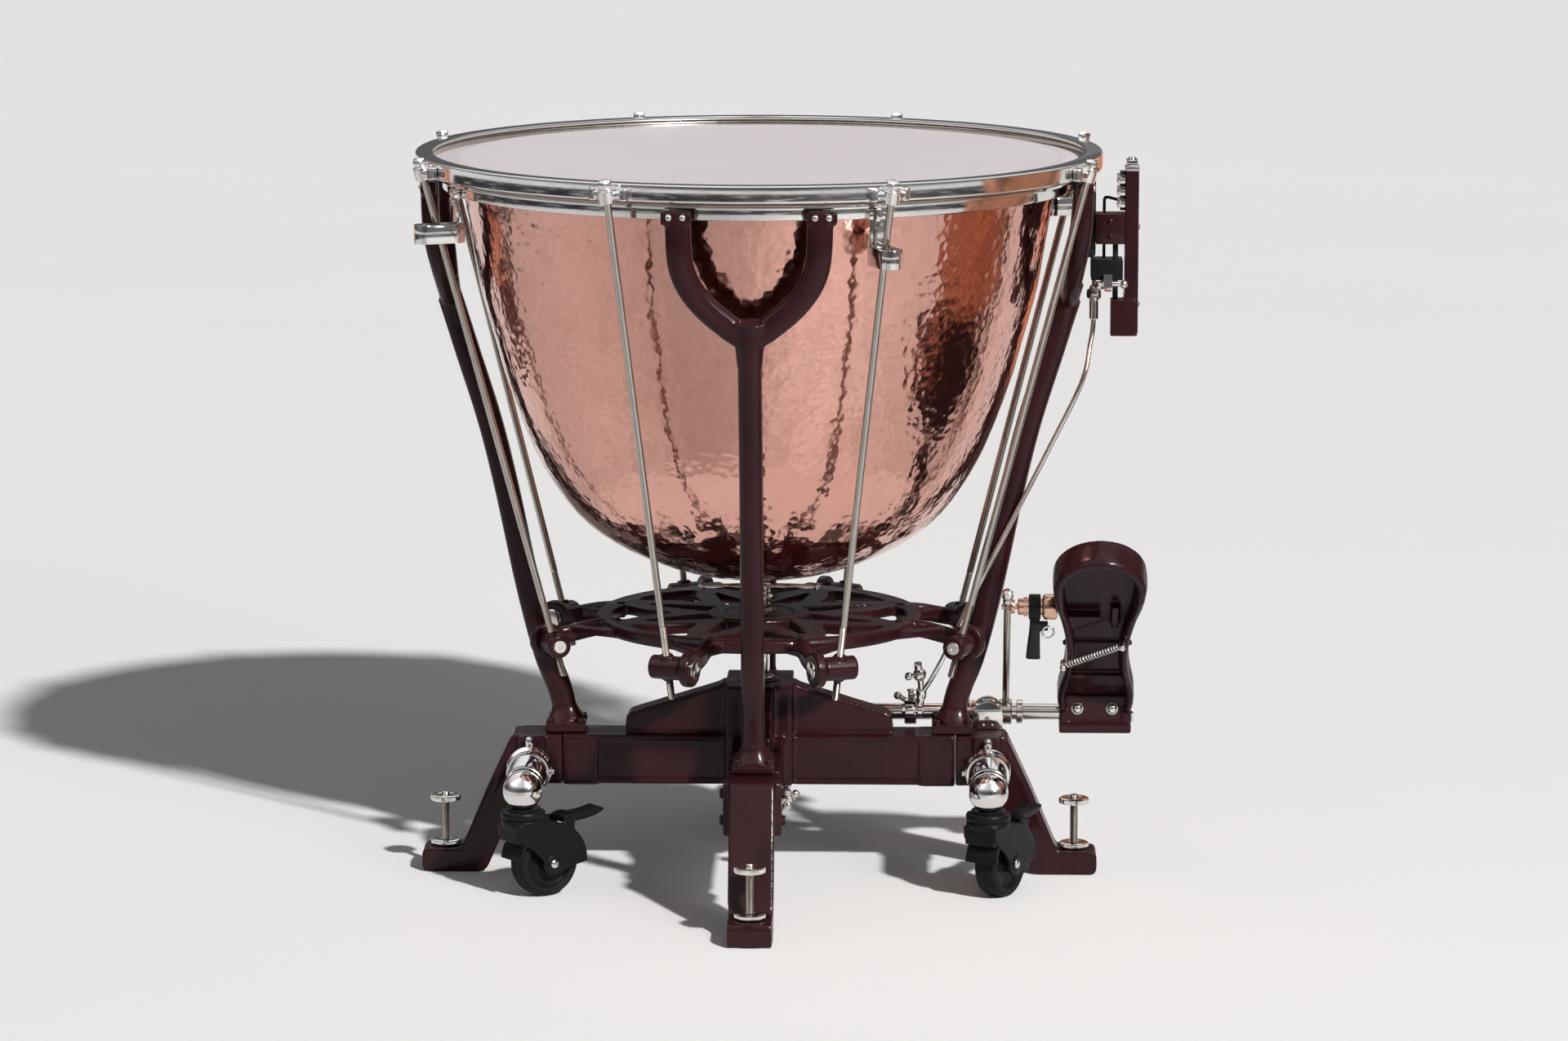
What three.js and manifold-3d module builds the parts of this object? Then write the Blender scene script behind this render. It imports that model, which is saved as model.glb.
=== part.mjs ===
// Pedal kettledrum (timpano), nominal 26 inch, with an extended collar head.
// Copper kettle hung in four Y-shaped cast struts on a cross base, eight
// tension rods pulled together by a spider, a side foot pedal, a tuning gauge,
// three levelling feet and three swivel casters.
// Millimetres, +Z up. The kettle axis is vertical; -Y is the front leg, +X the
// pedal side, and the floor is z = 0.
import * as THREE from "three";
import { mergeVertices } from "three/addons/utils/BufferGeometryUtils.js";
import Module from "manifold-3d";

const wasm = await Module();
wasm.setup();

// ---------------------------------------------------------------- dimensions
const GAP = 0.4; // running gap between touching pieces
const AXIS_X = -23.2; // kettle axis, so that the whole drum is centred on the origin

const HEAD_Z = 793.7; // underside of the head film
const HEAD_T = 1.2;
const HEAD_R = 352;
const WALL = 1.8; // kettle sheet
const KETTLE = [
  [12.5, 331], [50, 333.5], [100, 345.5], [150, 367], [190, 395], [220, 432],
  [247, 477], [278, 557], [304, 650], [320, 740], [330.3, 784], [330.3, 793.3],
]; // outer radius and height, vent hole first

const HOOP_R = 373; // counterhoop outer radius
const HOOP_IN = 354;
const HOOP_TOP = 802;
const HOOP_BOT = 784;
const ROUND = 36; // facets on the big rings

const RING_IN = 331;
const RING_OUT = 352;
const RING_TOP = 780;

const LUG_AZ = [22.5, 67.5, 112.5, 157.5, -157.5, -112.5, -67.5, -22.5];
const ROD_TOP = [385, 797]; // radius, height where the rod leaves the hoop lug
const ROD_BOT = [238, 270]; // radius, height of the trunnion
const ROD_R = 3.9;

const STRUT_R = 13.3;
const STRUT = [[214, 186], [221, 205], [236, 245], [255, 320], [278, 431], [296, 505], [319, 579], [331, 620], [339, 648]];
const FORK_T = 72; // half spacing of the two fork arms
const FORK_TOP = 774.1;

const ARM_TOP = 156;
const ARM_BOT = 101;
const ARM_END = 216;
const TOWER_TOP = 213;

const SHAFT_Y = 35;
const SHAFT_Z = 172;
const SHAFT_R = 9;
const TILT = (50 * Math.PI) / 180; // foot pedal above horizontal
const CAM = 12; // throw of the eccentric that pulls the column
const CRANK = 42; // gauge crank
const CRANK_A = (12.5 * Math.PI) / 180;

const TUBE_X = 252;
const TUBE_Z = 120;
const TUBE_R = 20;
const SWIVEL_Y = -145;
const WHEEL_R = 37.5;
const TRAIL = 27;
const SCREW_RAD = 348;

// ------------------------------------------------------------------- helpers
const V = (x, y, z) => new THREE.Vector3(x, y, z);
const M4 = () => new THREE.Matrix4();
const rad = (d) => (d * Math.PI) / 180;

function solid(geometry, matrix) {
  let g = geometry.index ? geometry.toNonIndexed() : geometry.clone();
  g.deleteAttribute("normal");
  g.deleteAttribute("uv");
  if (matrix) g.applyMatrix4(matrix);
  g = mergeVertices(g, 1e-4);
  const t = new Uint32Array(g.index.array);
  // degenerate triangles at poles carry no area and would break the surface
  const keep = [];
  for (let i = 0; i < t.length; i += 3)
    if (t[i] !== t[i + 1] && t[i + 1] !== t[i + 2] && t[i] !== t[i + 2]) keep.push(t[i], t[i + 1], t[i + 2]);
  const make = (tv) => new wasm.Manifold(new wasm.Mesh({ numProp: 3, vertProperties: new Float32Array(g.attributes.position.array), triVerts: new Uint32Array(tv) }));
  let s = make(keep);
  if (s.volume() < 0) {
    for (let i = 0; i < keep.length; i += 3) [keep[i + 1], keep[i + 2]] = [keep[i + 2], keep[i + 1]];
    s = make(keep);
  }
  return s;
}
const join = (...list) => list.reduce((a, b) => a.add(b));
const cut = (a, ...list) => list.reduce((x, b) => x.subtract(b), a);

// axis-aligned block given by its lowest and highest corners
function block(x0, y0, z0, x1, y1, z1) {
  return solid(new THREE.BoxGeometry(x1 - x0, y1 - y0, z1 - z0).translate((x0 + x1) / 2, (y0 + y1) / 2, (z0 + z1) / 2));
}
// a turned piece: profile of [radius, height] pairs about +Z
function turned(profile, sides, matrix) {
  const g = new THREE.LatheGeometry(profile.map(([r, h]) => new THREE.Vector2(r, h)), sides);
  g.applyMatrix4(M4().makeRotationX(Math.PI / 2));
  return solid(g, matrix);
}
// cylinder or cone between two points
function rod(a, b, r0, sides = 12, r1 = r0) {
  const d = b.clone().sub(a);
  const g = new THREE.CylinderGeometry(r1, r0, d.length(), sides, 1);
  const q = new THREE.Quaternion().setFromUnitVectors(V(0, 1, 0), d.clone().normalize());
  return solid(g, M4().compose(a.clone().add(b).multiplyScalar(0.5), q, V(1, 1, 1)));
}
const ball = (c, r, w = 8, h = 6) => solid(new THREE.SphereGeometry(r, w, h).translate(c.x, c.y, c.z));
// round bar swept along a smooth curve through points
function bar(points, r, sides = 10, steps = 24, tension = 0.5) {
  const path = new THREE.CatmullRomCurve3(points, false, "catmullrom", tension);
  const s = new THREE.Shape();
  s.absarc(0, 0, r, 0, 2 * Math.PI);
  return solid(new THREE.ExtrudeGeometry(s, { steps, curveSegments: sides / 2, extrudePath: path, bevelEnabled: false }));
}
// flat outline of [u, v] pairs, extruded along the third axis of a basis
function plate(outline, depth, matrix, holes = []) {
  const s = new THREE.Shape(outline.map(([x, y]) => new THREE.Vector2(x, y)));
  for (const h of holes) s.holes.push(new THREE.Path(h.map(([x, y]) => new THREE.Vector2(x, y))));
  return solid(new THREE.ExtrudeGeometry(s, { depth, steps: 1, bevelEnabled: false, curveSegments: 8 }), matrix);
}
const basis = (ex, ey, ez, o) => M4().makeBasis(ex, ey, ez).setPosition(o);
// basis whose local x is radial outward, y is tangential and z is up
function polar(az) {
  const a = rad(az);
  return M4().makeBasis(V(Math.sin(a), -Math.cos(a), 0), V(Math.cos(a), Math.sin(a), 0), V(0, 0, 1));
}
const at = (az, r, t, z) => V(r, t, z).applyMatrix4(polar(az));
// side elevation of a radial casting: outline of [radius, height], thickness about the radial plane
function fin(outline, az, t0, t1) {
  const a = rad(az);
  const er = V(Math.sin(a), -Math.cos(a), 0);
  const et = V(Math.cos(a), Math.sin(a), 0);
  // er x z = -et, so the extrusion runs from t1 down to t0
  return plate(outline, t1 - t0, basis(er, V(0, 0, 1), et.clone().negate(), et.clone().multiplyScalar(t1)));
}
const arc = (cx, cy, r, a0, a1, n) => Array.from({ length: n + 1 }, (_, i) => {
  const a = rad(a0 + ((a1 - a0) * i) / n);
  return [cx + r * Math.cos(a), cy + r * Math.sin(a)];
});
// one wall of sheet: the outline and the same outline pushed in by t
function shell(profile, t) {
  const out = profile.map(([r, z], i) => {
    const a = profile[Math.max(0, i - 1)];
    const b = profile[Math.min(profile.length - 1, i + 1)];
    const dx = b[0] - a[0], dz = b[1] - a[1], n = Math.hypot(dx, dz);
    return [r - (dz / n) * t, z + (dx / n) * t];
  });
  out[out.length - 1][1] = profile[profile.length - 1][1];
  out[0][0] = profile[0][0];
  return [...profile, ...out.reverse(), profile[0]];
}

// ------------------------------------------------------------------ finishes
const finish = (color, roughness, metalness) => new THREE.MeshStandardMaterial({ color, roughness, metalness });
const COPPER = finish(0xc98a74, 0.28, 1);
const WINE = finish(0x3a1c22, 0.42, 0.1);
const CHROME = finish(0xd8d6d4, 0.12, 1);
const STEEL = finish(0xa8a6a2, 0.3, 1);
const FILM = finish(0xd8cfd0, 0.55, 0);
const BLACK = finish(0x161616, 0.55, 0);
const TYRE = finish(0x1c1c1c, 0.75, 0);
const BRONZE = finish(0xb87a58, 0.3, 1);

const drum = new THREE.Group();
drum.position.set(AXIS_X, 0, 0);
function piece(name, s, material, parent = drum) {
  const m = s.getMesh();
  const g = new THREE.BufferGeometry();
  const v = new Float32Array(m.numVert * 3);
  for (let i = 0; i < m.numVert; i++) v.set(m.vertProperties.subarray(i * m.numProp, i * m.numProp + 3), i * 3);
  g.setAttribute("position", new THREE.BufferAttribute(v, 3));
  g.setIndex(new THREE.BufferAttribute(new Uint32Array(m.triVerts), 1));
  g.computeVertexNormals();
  const mesh = new THREE.Mesh(g, material);
  mesh.name = name;
  parent.add(mesh);
  return mesh;
}

// ------------------------------------------------------------ kettle and head
piece("kettle_bowl", turned(shell(KETTLE, WALL), 32), COPPER);
piece("suspension_ring", turned([
  [RING_IN, RING_TOP - 5.4], [338, RING_TOP - 5.4], [338, 763], [344, 763], [344, RING_TOP - 5.4],
  [RING_OUT, RING_TOP - 5.4], [RING_OUT, RING_TOP], [RING_IN, RING_TOP], [RING_IN, RING_TOP - 5.4],
], ROUND), CHROME);
piece("drumhead", turned([[0, HEAD_Z], [HEAD_R, HEAD_Z], [HEAD_R, HEAD_Z + HEAD_T], [0, HEAD_Z + HEAD_T]], ROUND), FILM);
piece("flesh_hoop", turned([[356, 785], [366.5, 785], [366.5, 797.4], [356, 797.4], [356, 785]], ROUND), STEEL);

// counterhoop: inverted channel with eight forged ears
const rodDir = V(ROD_TOP[0] - ROD_BOT[0], 0, ROD_TOP[1] - ROD_BOT[1]).normalize();
const rodAt = (z) => ROD_BOT[0] + ((z - ROD_BOT[1]) / (ROD_TOP[1] - ROD_BOT[1])) * (ROD_TOP[0] - ROD_BOT[0]);
{
  let hoop = turned([
    [HOOP_IN, 798], [369, 798], [369, HOOP_BOT], [HOOP_R, HOOP_BOT], [HOOP_R, HOOP_TOP], [HOOP_IN, HOOP_TOP], [HOOP_IN, 798],
  ], ROUND);
  for (const az of LUG_AZ) {
    const p = polar(az);
    const ear = join(
      solid(new THREE.BoxGeometry(24, 19, 12).translate(382, 0, 790), p),
      solid(new THREE.BoxGeometry(9, 34, 8).translate(377, 0, 790), p),
    );
    hoop = hoop.add(ear);
  }
  for (const az of LUG_AZ) hoop = hoop.subtract(rod(at(az, rodAt(776), 0, 776), at(az, rodAt(800), 0, 800), ROD_R + 0.7, 8));
  piece("counterhoop", hoop, CHROME);
}

// tension rods: hex head, long stem and the trunnion it screws through
LUG_AZ.forEach((az, i) => {
  const head0 = 798.4;
  const s = join(
    rod(at(az, rodAt(234), 0, 234), at(az, rodAt(800), 0, 800), ROD_R, 8),
    rod(at(az, rodAt(head0), 0, head0), at(az, rodAt(808), 0, 808), 7.6, 6),
    rod(at(az, ROD_BOT[0], -18.6, ROD_BOT[1]), at(az, ROD_BOT[0], 18.6, ROD_BOT[1]), 13, 12),
  );
  piece("tension_rod_" + (i + 1), s, CHROME);
});

// spider: pierced disc, hub, and eight cheeks that hold the trunnions
{
  const rim = arc(0, 0, 178, 0, 350, 35);
  const P = (r, a) => [r * Math.sin(rad(a)), -r * Math.cos(rad(a))];
  const holes = [];
  for (let k = 0; k < 8; k++) {
    const a = 22.5 + 45 * k;
    holes.push([P(54, a - 17), P(54, a + 17), P(88, a + 6.5), P(132, a), P(88, a - 6.5)]);
    const m = a + 22.5;
    holes.push([P(92, m), P(128, m + 8), P(158, m + 17), P(161, m + 6), P(161, m - 6), P(158, m - 17), P(128, m - 8)]);
  }
  let s = plate(rim, 14, M4().makeTranslation(0, 0, 276), holes);
  s = s.add(turned([[0, 264], [38, 264], [38, 286], [30, 292], [0, 292]], 24));
  for (const az of LUG_AZ) {
    const near = Math.abs(az) % 90 < 45 ? 1 : -1; // the strut side of the trunnion
    const side = az > 0 ? -near : near;
    const t0 = 19 + GAP, t1 = 31;
    const lo = side > 0 ? t0 : -t1, hi = side > 0 ? t1 : -t0;
    s = s.add(fin([[166, 276.5], [ROD_BOT[0], 257], [ROD_BOT[0], 284], [166, 289.5]], az, lo, hi));
    s = s.add(rod(at(az, ROD_BOT[0], lo, ROD_BOT[1]), at(az, ROD_BOT[0], hi, ROD_BOT[1]), 20, 12));
  }
  s = s.subtract(rod(V(0, 0, 250), V(0, 0, 300), 8.6, 16));
  piece("spider", s, WINE);
}

// pull column: threaded spindle through the spider, yoke on the eccentric below
{
  const s = join(
    rod(V(0, 0, 158), V(0, 0, 263.6), 11.5, 16),
    rod(V(0, 0, 260), V(0, 0, 314), 8, 16),
    cut(block(-9, -9, 158, 3, 46, 188), plate(
      [...arc(SHAFT_Y - CAM - 1, SHAFT_Z, 5.7, 90, 270, 6), ...arc(SHAFT_Y - CAM + 3, SHAFT_Z, 5.7, -90, 90, 6)], 40,
      basis(V(0, 1, 0), V(0, 0, 1), V(1, 0, 0), V(-20, 0, 0)))),
  );
  piece("pull_column", s, CHROME);
  // fine tuning nut with its tommy bar
  let nut = cut(turned([[0, 293], [15, 293], [15, 310], [0, 310]], 6), rod(V(0, 0, 290), V(0, 0, 312), 8.8, 12));
  nut = join(nut, turned([[0, 314.6], [12, 314.6], [12, 322], [0, 322]], 12), cut(turned([[0, 309], [13, 309], [13, 316], [0, 316]], 12), turned([[0, 300], [8.8, 300], [8.8, 314.4], [0, 314.4]], 12)));
  nut = nut.add(rod(V(-65, 0, 318.5), V(65, 0, 318.5), 2.8, 8));
  piece("fine_tuner", nut, CHROME);
}

// ------------------------------------------------------------------- struts
for (const [name, az] of [["front", 0], ["right", 90], ["back", 180], ["left", -90]]) {
  const stem = STRUT.map(([r, z]) => at(az, r, 0, z));
  const fork = [];
  for (const [t, r, z] of [[72, 353, FORK_TOP], [72, 352.5, 738], [69, 350, 714], [59, 346, 692], [41, 342, 671], [21, 339, 655]]) fork.push(at(az, r, -t, z));
  fork.push(at(az, 338, 0, 650));
  for (const [t, r, z] of [[21, 339, 655], [41, 342, 671], [59, 346, 692], [69, 350, 714], [72, 352.5, 738], [72, 353, FORK_TOP]]) fork.push(at(az, r, t, z));
  let s = join(
    bar(stem, STRUT_R, 8, 9),
    bar(fork, 13, 8, 16),
    rod(at(az, 214, 0, 166), at(az, 214, 0, 188), 21, 8, STRUT_R),
    solid(new THREE.BoxGeometry(46, 46, 12).translate(213, 0, ARM_TOP + GAP + 6), polar(az)),
  );
  // squared pads under the ring
  for (const t of [-FORK_T, FORK_T]) s = s.add(solid(new THREE.BoxGeometry(17, 26, 14).translate(353.2, t, FORK_TOP - 7), polar(az)));
  // level tops and room behind for the ring's lip
  s = cut(s, block(-400, -400, FORK_TOP, 400, 400, FORK_TOP + 30));
  s = cut(s, turned([[0, 700], [344.6, 700], [344.6, 790], [0, 790]], ROUND));
  piece("strut_" + name, s, WINE);
}

// --------------------------------------------------------------------- base
{
  let s = join(
    block(-26, -ARM_END, ARM_BOT, 26, ARM_END, ARM_TOP),
    block(-ARM_END, -26, ARM_BOT, ARM_END, 26, ARM_TOP),
    block(-37, -37, ARM_BOT, 37, 62, TOWER_TOP),
  );
  for (const az of [0, 90, 180, -90]) s = s.add(fin([[30, ARM_TOP - 1], [147, ARM_TOP - 1], [147, 174], [az === 180 ? 62 : 40, TOWER_TOP], [30, TOWER_TOP]], az, -16, 16));
  // the castings are open underneath, like any ribbed base
  s = cut(s, block(-29.5, -29.5, 90, 29.5, 55, 206));
  for (const az of [0, 90, 180, -90]) s = cut(s, fin([[az === 180 ? 68 : 44, 90], [206, 90], [206, 147], [az === 180 ? 68 : 44, 147]], az, -19, 19));
  s = cut(s, rod(V(0, 0, 200), V(0, 0, 220), 12.4, 20));
  s = cut(s, rod(V(25, SHAFT_Y, SHAFT_Z), V(45, SHAFT_Y, SHAFT_Z), SHAFT_R + 0.6, 20));
  piece("base_hub", s, WINE);
}
// side elevation of a leg and its foot, [radius, height]
const LEG = [
  [ARM_END + 0.4, 100.5], [250, 100.5], [285, 38], [303, 0], [370, 0], [373, 4], [373, 21], [369, 26], [331, 26],
  [327, 32], [272, 156], [ARM_END + 0.4, 156],
];
const screwAz = { front: 0, right: 90, left: -90 };
for (const [name, az] of Object.entries(screwAz)) {
  let s = join(
    fin(LEG, az, -24, 24),
    fin([[ARM_END + 0.4, 100.5], [262, 100.5], [262, 156], [ARM_END + 0.4, 156]], az, -27, 27),
    fin([[236, 96], [266, 96], [266, 155], [236, 155]], az, -31.5, 31.5),
  );
  if (name === "right") s = s.add(block(236, 20, 140, 266, 50, 156));
  s = cut(s, rod(at(az, SCREW_RAD, 0, -5), at(az, SCREW_RAD, 0, 40), 5.2, 12));
  piece("leg_" + name, s, WINE);
  // levelling screw with its hand wheel, and the knurled lock nut
  piece("levelling_screw_" + name, join(
    rod(at(az, SCREW_RAD, 0, 0), at(az, SCREW_RAD, 0, 86), 4.5, 12),
    turned([[0, 84], [16.5, 84], [16.5, 91], [0, 91]], 16, M4().setPosition(at(az, SCREW_RAD, 0, 0))),
  ), CHROME);
  piece("lock_nut_" + name, turned([[5, 26.5], [16.5, 26.5], [16.5, 33], [5, 33], [5, 26.5]], 16,
    M4().setPosition(at(az, SCREW_RAD, 0, 0))), CHROME);
}
// the rear arm ends in a block that takes a caster
piece("rear_caster_block", cut(
  join(fin([[ARM_END + 0.4, 100.5], [258, 100.5], [262, 104], [262, 150], [256, 156], [ARM_END + 0.4, 156]], 180, -27, 27)),
  rod(V(0, 240, 95), V(0, 240, 130), 6.2, 12),
), WINE);

// ------------------------------------------------------------------- casters
for (const [name, side] of [["left", -1], ["right", 1]]) {
  const m = basis(V(1, 0, 0), V(0, 0, 1), V(0, -1, 0), V(side * TUBE_X, 0, TUBE_Z)); // local z runs forward, -Y
  const out = [[17, 32], [25, 32], [25, 42], [21.5, 44], [TUBE_R, 44], [TUBE_R, 152]];
  for (let i = 1; i <= 4; i++) out.push([TUBE_R * Math.cos(rad(22.5 * i)), 152 + TUBE_R * Math.sin(rad(22.5 * i))]);
  out[out.length - 1][0] = 0;
  out.push([0, 160], [17, 152], [17, 32]);
  let s = turned(out, 12, m);
  s = cut(s, rod(V(side * TUBE_X, SWIVEL_Y, 90), V(side * TUBE_X, SWIVEL_Y, 112), 6.2, 12));
  piece("caster_tube_" + name, s, CHROME);
}
// swivel casters: [name, swivel x, swivel y, trail direction in degrees from +X, top of stem]
const CASTERS = [["left", -TUBE_X, SWIVEL_Y, 38, 113], ["right", TUBE_X, SWIVEL_Y, 60, 113], ["rear", 0, 240, 80, 125]];
for (const [name, x, y, dir, stem] of CASTERS) {
  const a = rad(dir);
  const ex = V(Math.cos(a), Math.sin(a), 0), ey = V(-Math.sin(a), Math.cos(a), 0);
  const m = basis(ex, ey, V(0, 0, 1), V(x, y, 0)); // local x trails, y is the axle
  const flat = (outline, y0, y1) => plate(outline, y1 - y0, m.clone().multiply(basis(V(1, 0, 0), V(0, 0, 1), V(0, -1, 0), V(0, y1, 0))));
  const L = (px, py, pz) => V(px, py, pz).applyMatrix4(m);
  let yoke = flat([...arc(TRAIL, WHEEL_R, 43.5, -14, 194, 10)], -20, 20);
  yoke = yoke.add(flat([[-22, 62], [24, 62], [24, 84], [-22, 84]], -18, 18));
  yoke = cut(yoke, flat(arc(TRAIL, WHEEL_R, 41.2, 0, 337.5, 15), -15, 15), flat([[TRAIL - 60, -5], [TRAIL + 60, -5], [TRAIL + 60, 27], [TRAIL - 60, 27]], -30, 30));
  yoke = cut(yoke, flat([[TRAIL + 14, 26], [TRAIL + 60, 26], [TRAIL + 60, 50]], -30, 30));
  yoke = join(yoke,
    turned([[0, 82], [24, 82], [24, 97], [22, 98.6], [0, 98.6]], 20, m),
    rod(L(0, 0, 96), L(0, 0, stem), 5.5, 12),
    rod(L(TRAIL, -19, WHEEL_R), L(TRAIL, 19, WHEEL_R), 4.2, 10),
    flat([[40, 68], [54, 62], [54, 85], [42, 85]], 15, 19),
    flat([[40, 68], [54, 62], [54, 85], [42, 85]], -19, -15),
  );
  piece("caster_yoke_" + name, yoke, BLACK);
  const wheel = turned([[4.8, -13], [33, -13], [WHEEL_R, -7], [WHEEL_R, 7], [33, 13], [4.8, 13], [4.8, -13]], 24,
    m.clone().multiply(basis(V(0, 0, 1), V(1, 0, 0), V(0, 1, 0), V(TRAIL, 0, WHEEL_R))));
  piece("caster_wheel_" + name, wheel, TYRE);
  piece("brake_lever_" + name, flat([[44, 78.5], [60, 78.5], [78, 80], [97, 84], [99, 88], [95, 90], [76, 87], [58, 85], [46, 85], [44, 83]], -14, 14), BLACK);
}

// -------------------------------------------------------------------- pedal
const dU = V(0, -Math.cos(TILT), Math.sin(TILT)); // along the pedal, heel to toe
const dM = V(0, -Math.sin(TILT), -Math.cos(TILT)); // out of its underside
const PED = basis(V(1, 0, 0), dU, dM, V(0, SHAFT_Y, SHAFT_Z));
const PX = 371; // centre line of the foot plate
{
  // outline in the plane of the plate, [x, distance from the shaft]
  const right = [[38, 16], [38, 40], [36.5, 70], [34, 100], [34, 132], [37, 158], [42, 182]];
  const toe = arc(0, 232, 48.5, -22, 202, 14);
  const shape = (k) => [...right.map(([x, u]) => [PX + x - k, u + (u < 20 ? k : 0)]), ...toe.map(([x, u]) => [PX + x * (1 - k / 48.5), 232 + (u - 232) * (1 - k / 48.5)]),
    ...right.slice().reverse().map(([x, u]) => [PX - x + k, u + (u < 20 ? k : 0)])];
  let s = plate(shape(0), 24, PED.clone().multiply(M4().makeTranslation(0, 0, -12)));
  // the toe end is a deeper cup
  s = s.add(plate([[PX + 42, 186], ...toe.map(([x, u]) => [PX + x, u]), [PX - 42, 186]], 34, PED.clone().multiply(M4().makeTranslation(0, 0, -12))));
  let pocket = plate(shape(6), 40, PED.clone().multiply(M4().makeTranslation(0, 0, -4)));
  // three ribs stay across the pocket
  for (const u of [62, 118, 170]) pocket = cut(pocket, solid(new THREE.BoxGeometry(120, 5, 15).translate(PX, u, 1), PED));
  s = cut(s, pocket, block(PX - 45, 12, 140, PX + 45, 55, 195.5));
  piece("foot_pedal", s, WINE);
  piece("pedal_heel_block", cut(block(PX - 39, 16, 154, PX + 39, 54, 195), rod(V(PX - 60, SHAFT_Y, SHAFT_Z), V(PX + 60, SHAFT_Y, SHAFT_Z), SHAFT_R + 0.4, 20)), WINE);
  piece("pedal_shaft", join(
    rod(V(8, SHAFT_Y, SHAFT_Z), V(PX + 42, SHAFT_Y, SHAFT_Z), SHAFT_R, 20),
    rod(V(6, SHAFT_Y, SHAFT_Z), V(20, SHAFT_Y, SHAFT_Z), 18.5, 20),
    rod(V(-13, SHAFT_Y - CAM, SHAFT_Z), V(8, SHAFT_Y - CAM, SHAFT_Z), 5, 12),
  ), CHROME);
}
// bearing that carries the shaft on the right leg
piece("shaft_bearing", cut(join(
  block(238, 12, 156.4, 264, 50, 168),
  turned([[0, -14], [15, -14], [18, -10], [18, 10], [15, 14], [0, 14]], 20, basis(V(0, 1, 0), V(0, 0, 1), V(1, 0, 0), V(251, SHAFT_Y, SHAFT_Z + 2))),
  ), block(230, 0, 140, 272, 60, 156.4), rod(V(230, SHAFT_Y, SHAFT_Z), V(272, SHAFT_Y, SHAFT_Z), SHAFT_R + 0.5, 20)), CHROME);
// the crank that works the gauge link
const PIN_Y = SHAFT_Y - CRANK * Math.cos(CRANK_A);
const PIN_Z = SHAFT_Z + CRANK * Math.sin(CRANK_A);
{
  const c = join(
    rod(V(160, SHAFT_Y, SHAFT_Z), V(174, SHAFT_Y, SHAFT_Z), 14.5, 16),
    rod(V(167, SHAFT_Y, SHAFT_Z), V(167, PIN_Y, PIN_Z), 4.5, 8),
    rod(V(163, PIN_Y, PIN_Z), V(182, PIN_Y, PIN_Z), 2.6, 10),
    rod(V(160, PIN_Y, PIN_Z), V(171, PIN_Y, PIN_Z), 5.5, 10),
  );
  piece("gauge_crank", cut(c, rod(V(150, SHAFT_Y, SHAFT_Z), V(180, SHAFT_Y, SHAFT_Z), SHAFT_R + 0.4, 20)), CHROME);
}
// clutch: side rod, barrel, release lever and return spring
const CLU = 183; // distance of the clutch from the shaft
const inPed = (x, u, m) => V(x, u, m).applyMatrix4(PED);
piece("clutch_rod", cut(join(
  rod(V(265, SHAFT_Y, SHAFT_Z), V(279, SHAFT_Y, SHAFT_Z), 14, 16),
  rod(inPed(272, 10, 0), inPed(272, 202, 0), 3.6, 10),
  ball(inPed(272, 203, 0), 6.5),
), rod(V(260, SHAFT_Y, SHAFT_Z), V(284, SHAFT_Y, SHAFT_Z), SHAFT_R + 0.4, 20)), STEEL);
piece("clutch_barrel", cut(join(
  rod(inPed(263, CLU, 0), inPed(281, CLU, 0), 8, 12),
  rod(inPed(278, CLU, 0), inPed(326.8, CLU, 0), 9, 16),
  rod(inPed(311, CLU, 0), inPed(326.6, CLU, 0), 14, 16),
), rod(inPed(272, CLU - 30, 0), inPed(272, CLU + 30, 0), 4.0, 12)), BRONZE);
{
  const c = inPed(0, CLU, 0);
  const y = c.y, z = c.z;
  let s = join(rod(V(295, y, z), V(308, y, z), 14, 16), block(296, y - 5, z - 56, 307, y + 5, z - 6), block(292, y - 7, z - 58, 311, y + 7, z - 46));
  s = cut(s, rod(V(280, y, z), V(320, y, z), 9.5, 16));
  piece("clutch_lever", s, BLACK);
}
piece("clutch_spring", join(
  rod(inPed(333, 104, 19), inPed(398, 141, 19), 4, 10),
  rod(inPed(335, 105, 12.4), inPed(335, 105, 21), 3, 8),
  rod(inPed(396, 140, 12.4), inPed(396, 140, 21), 3, 8),
), STEEL);

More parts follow.
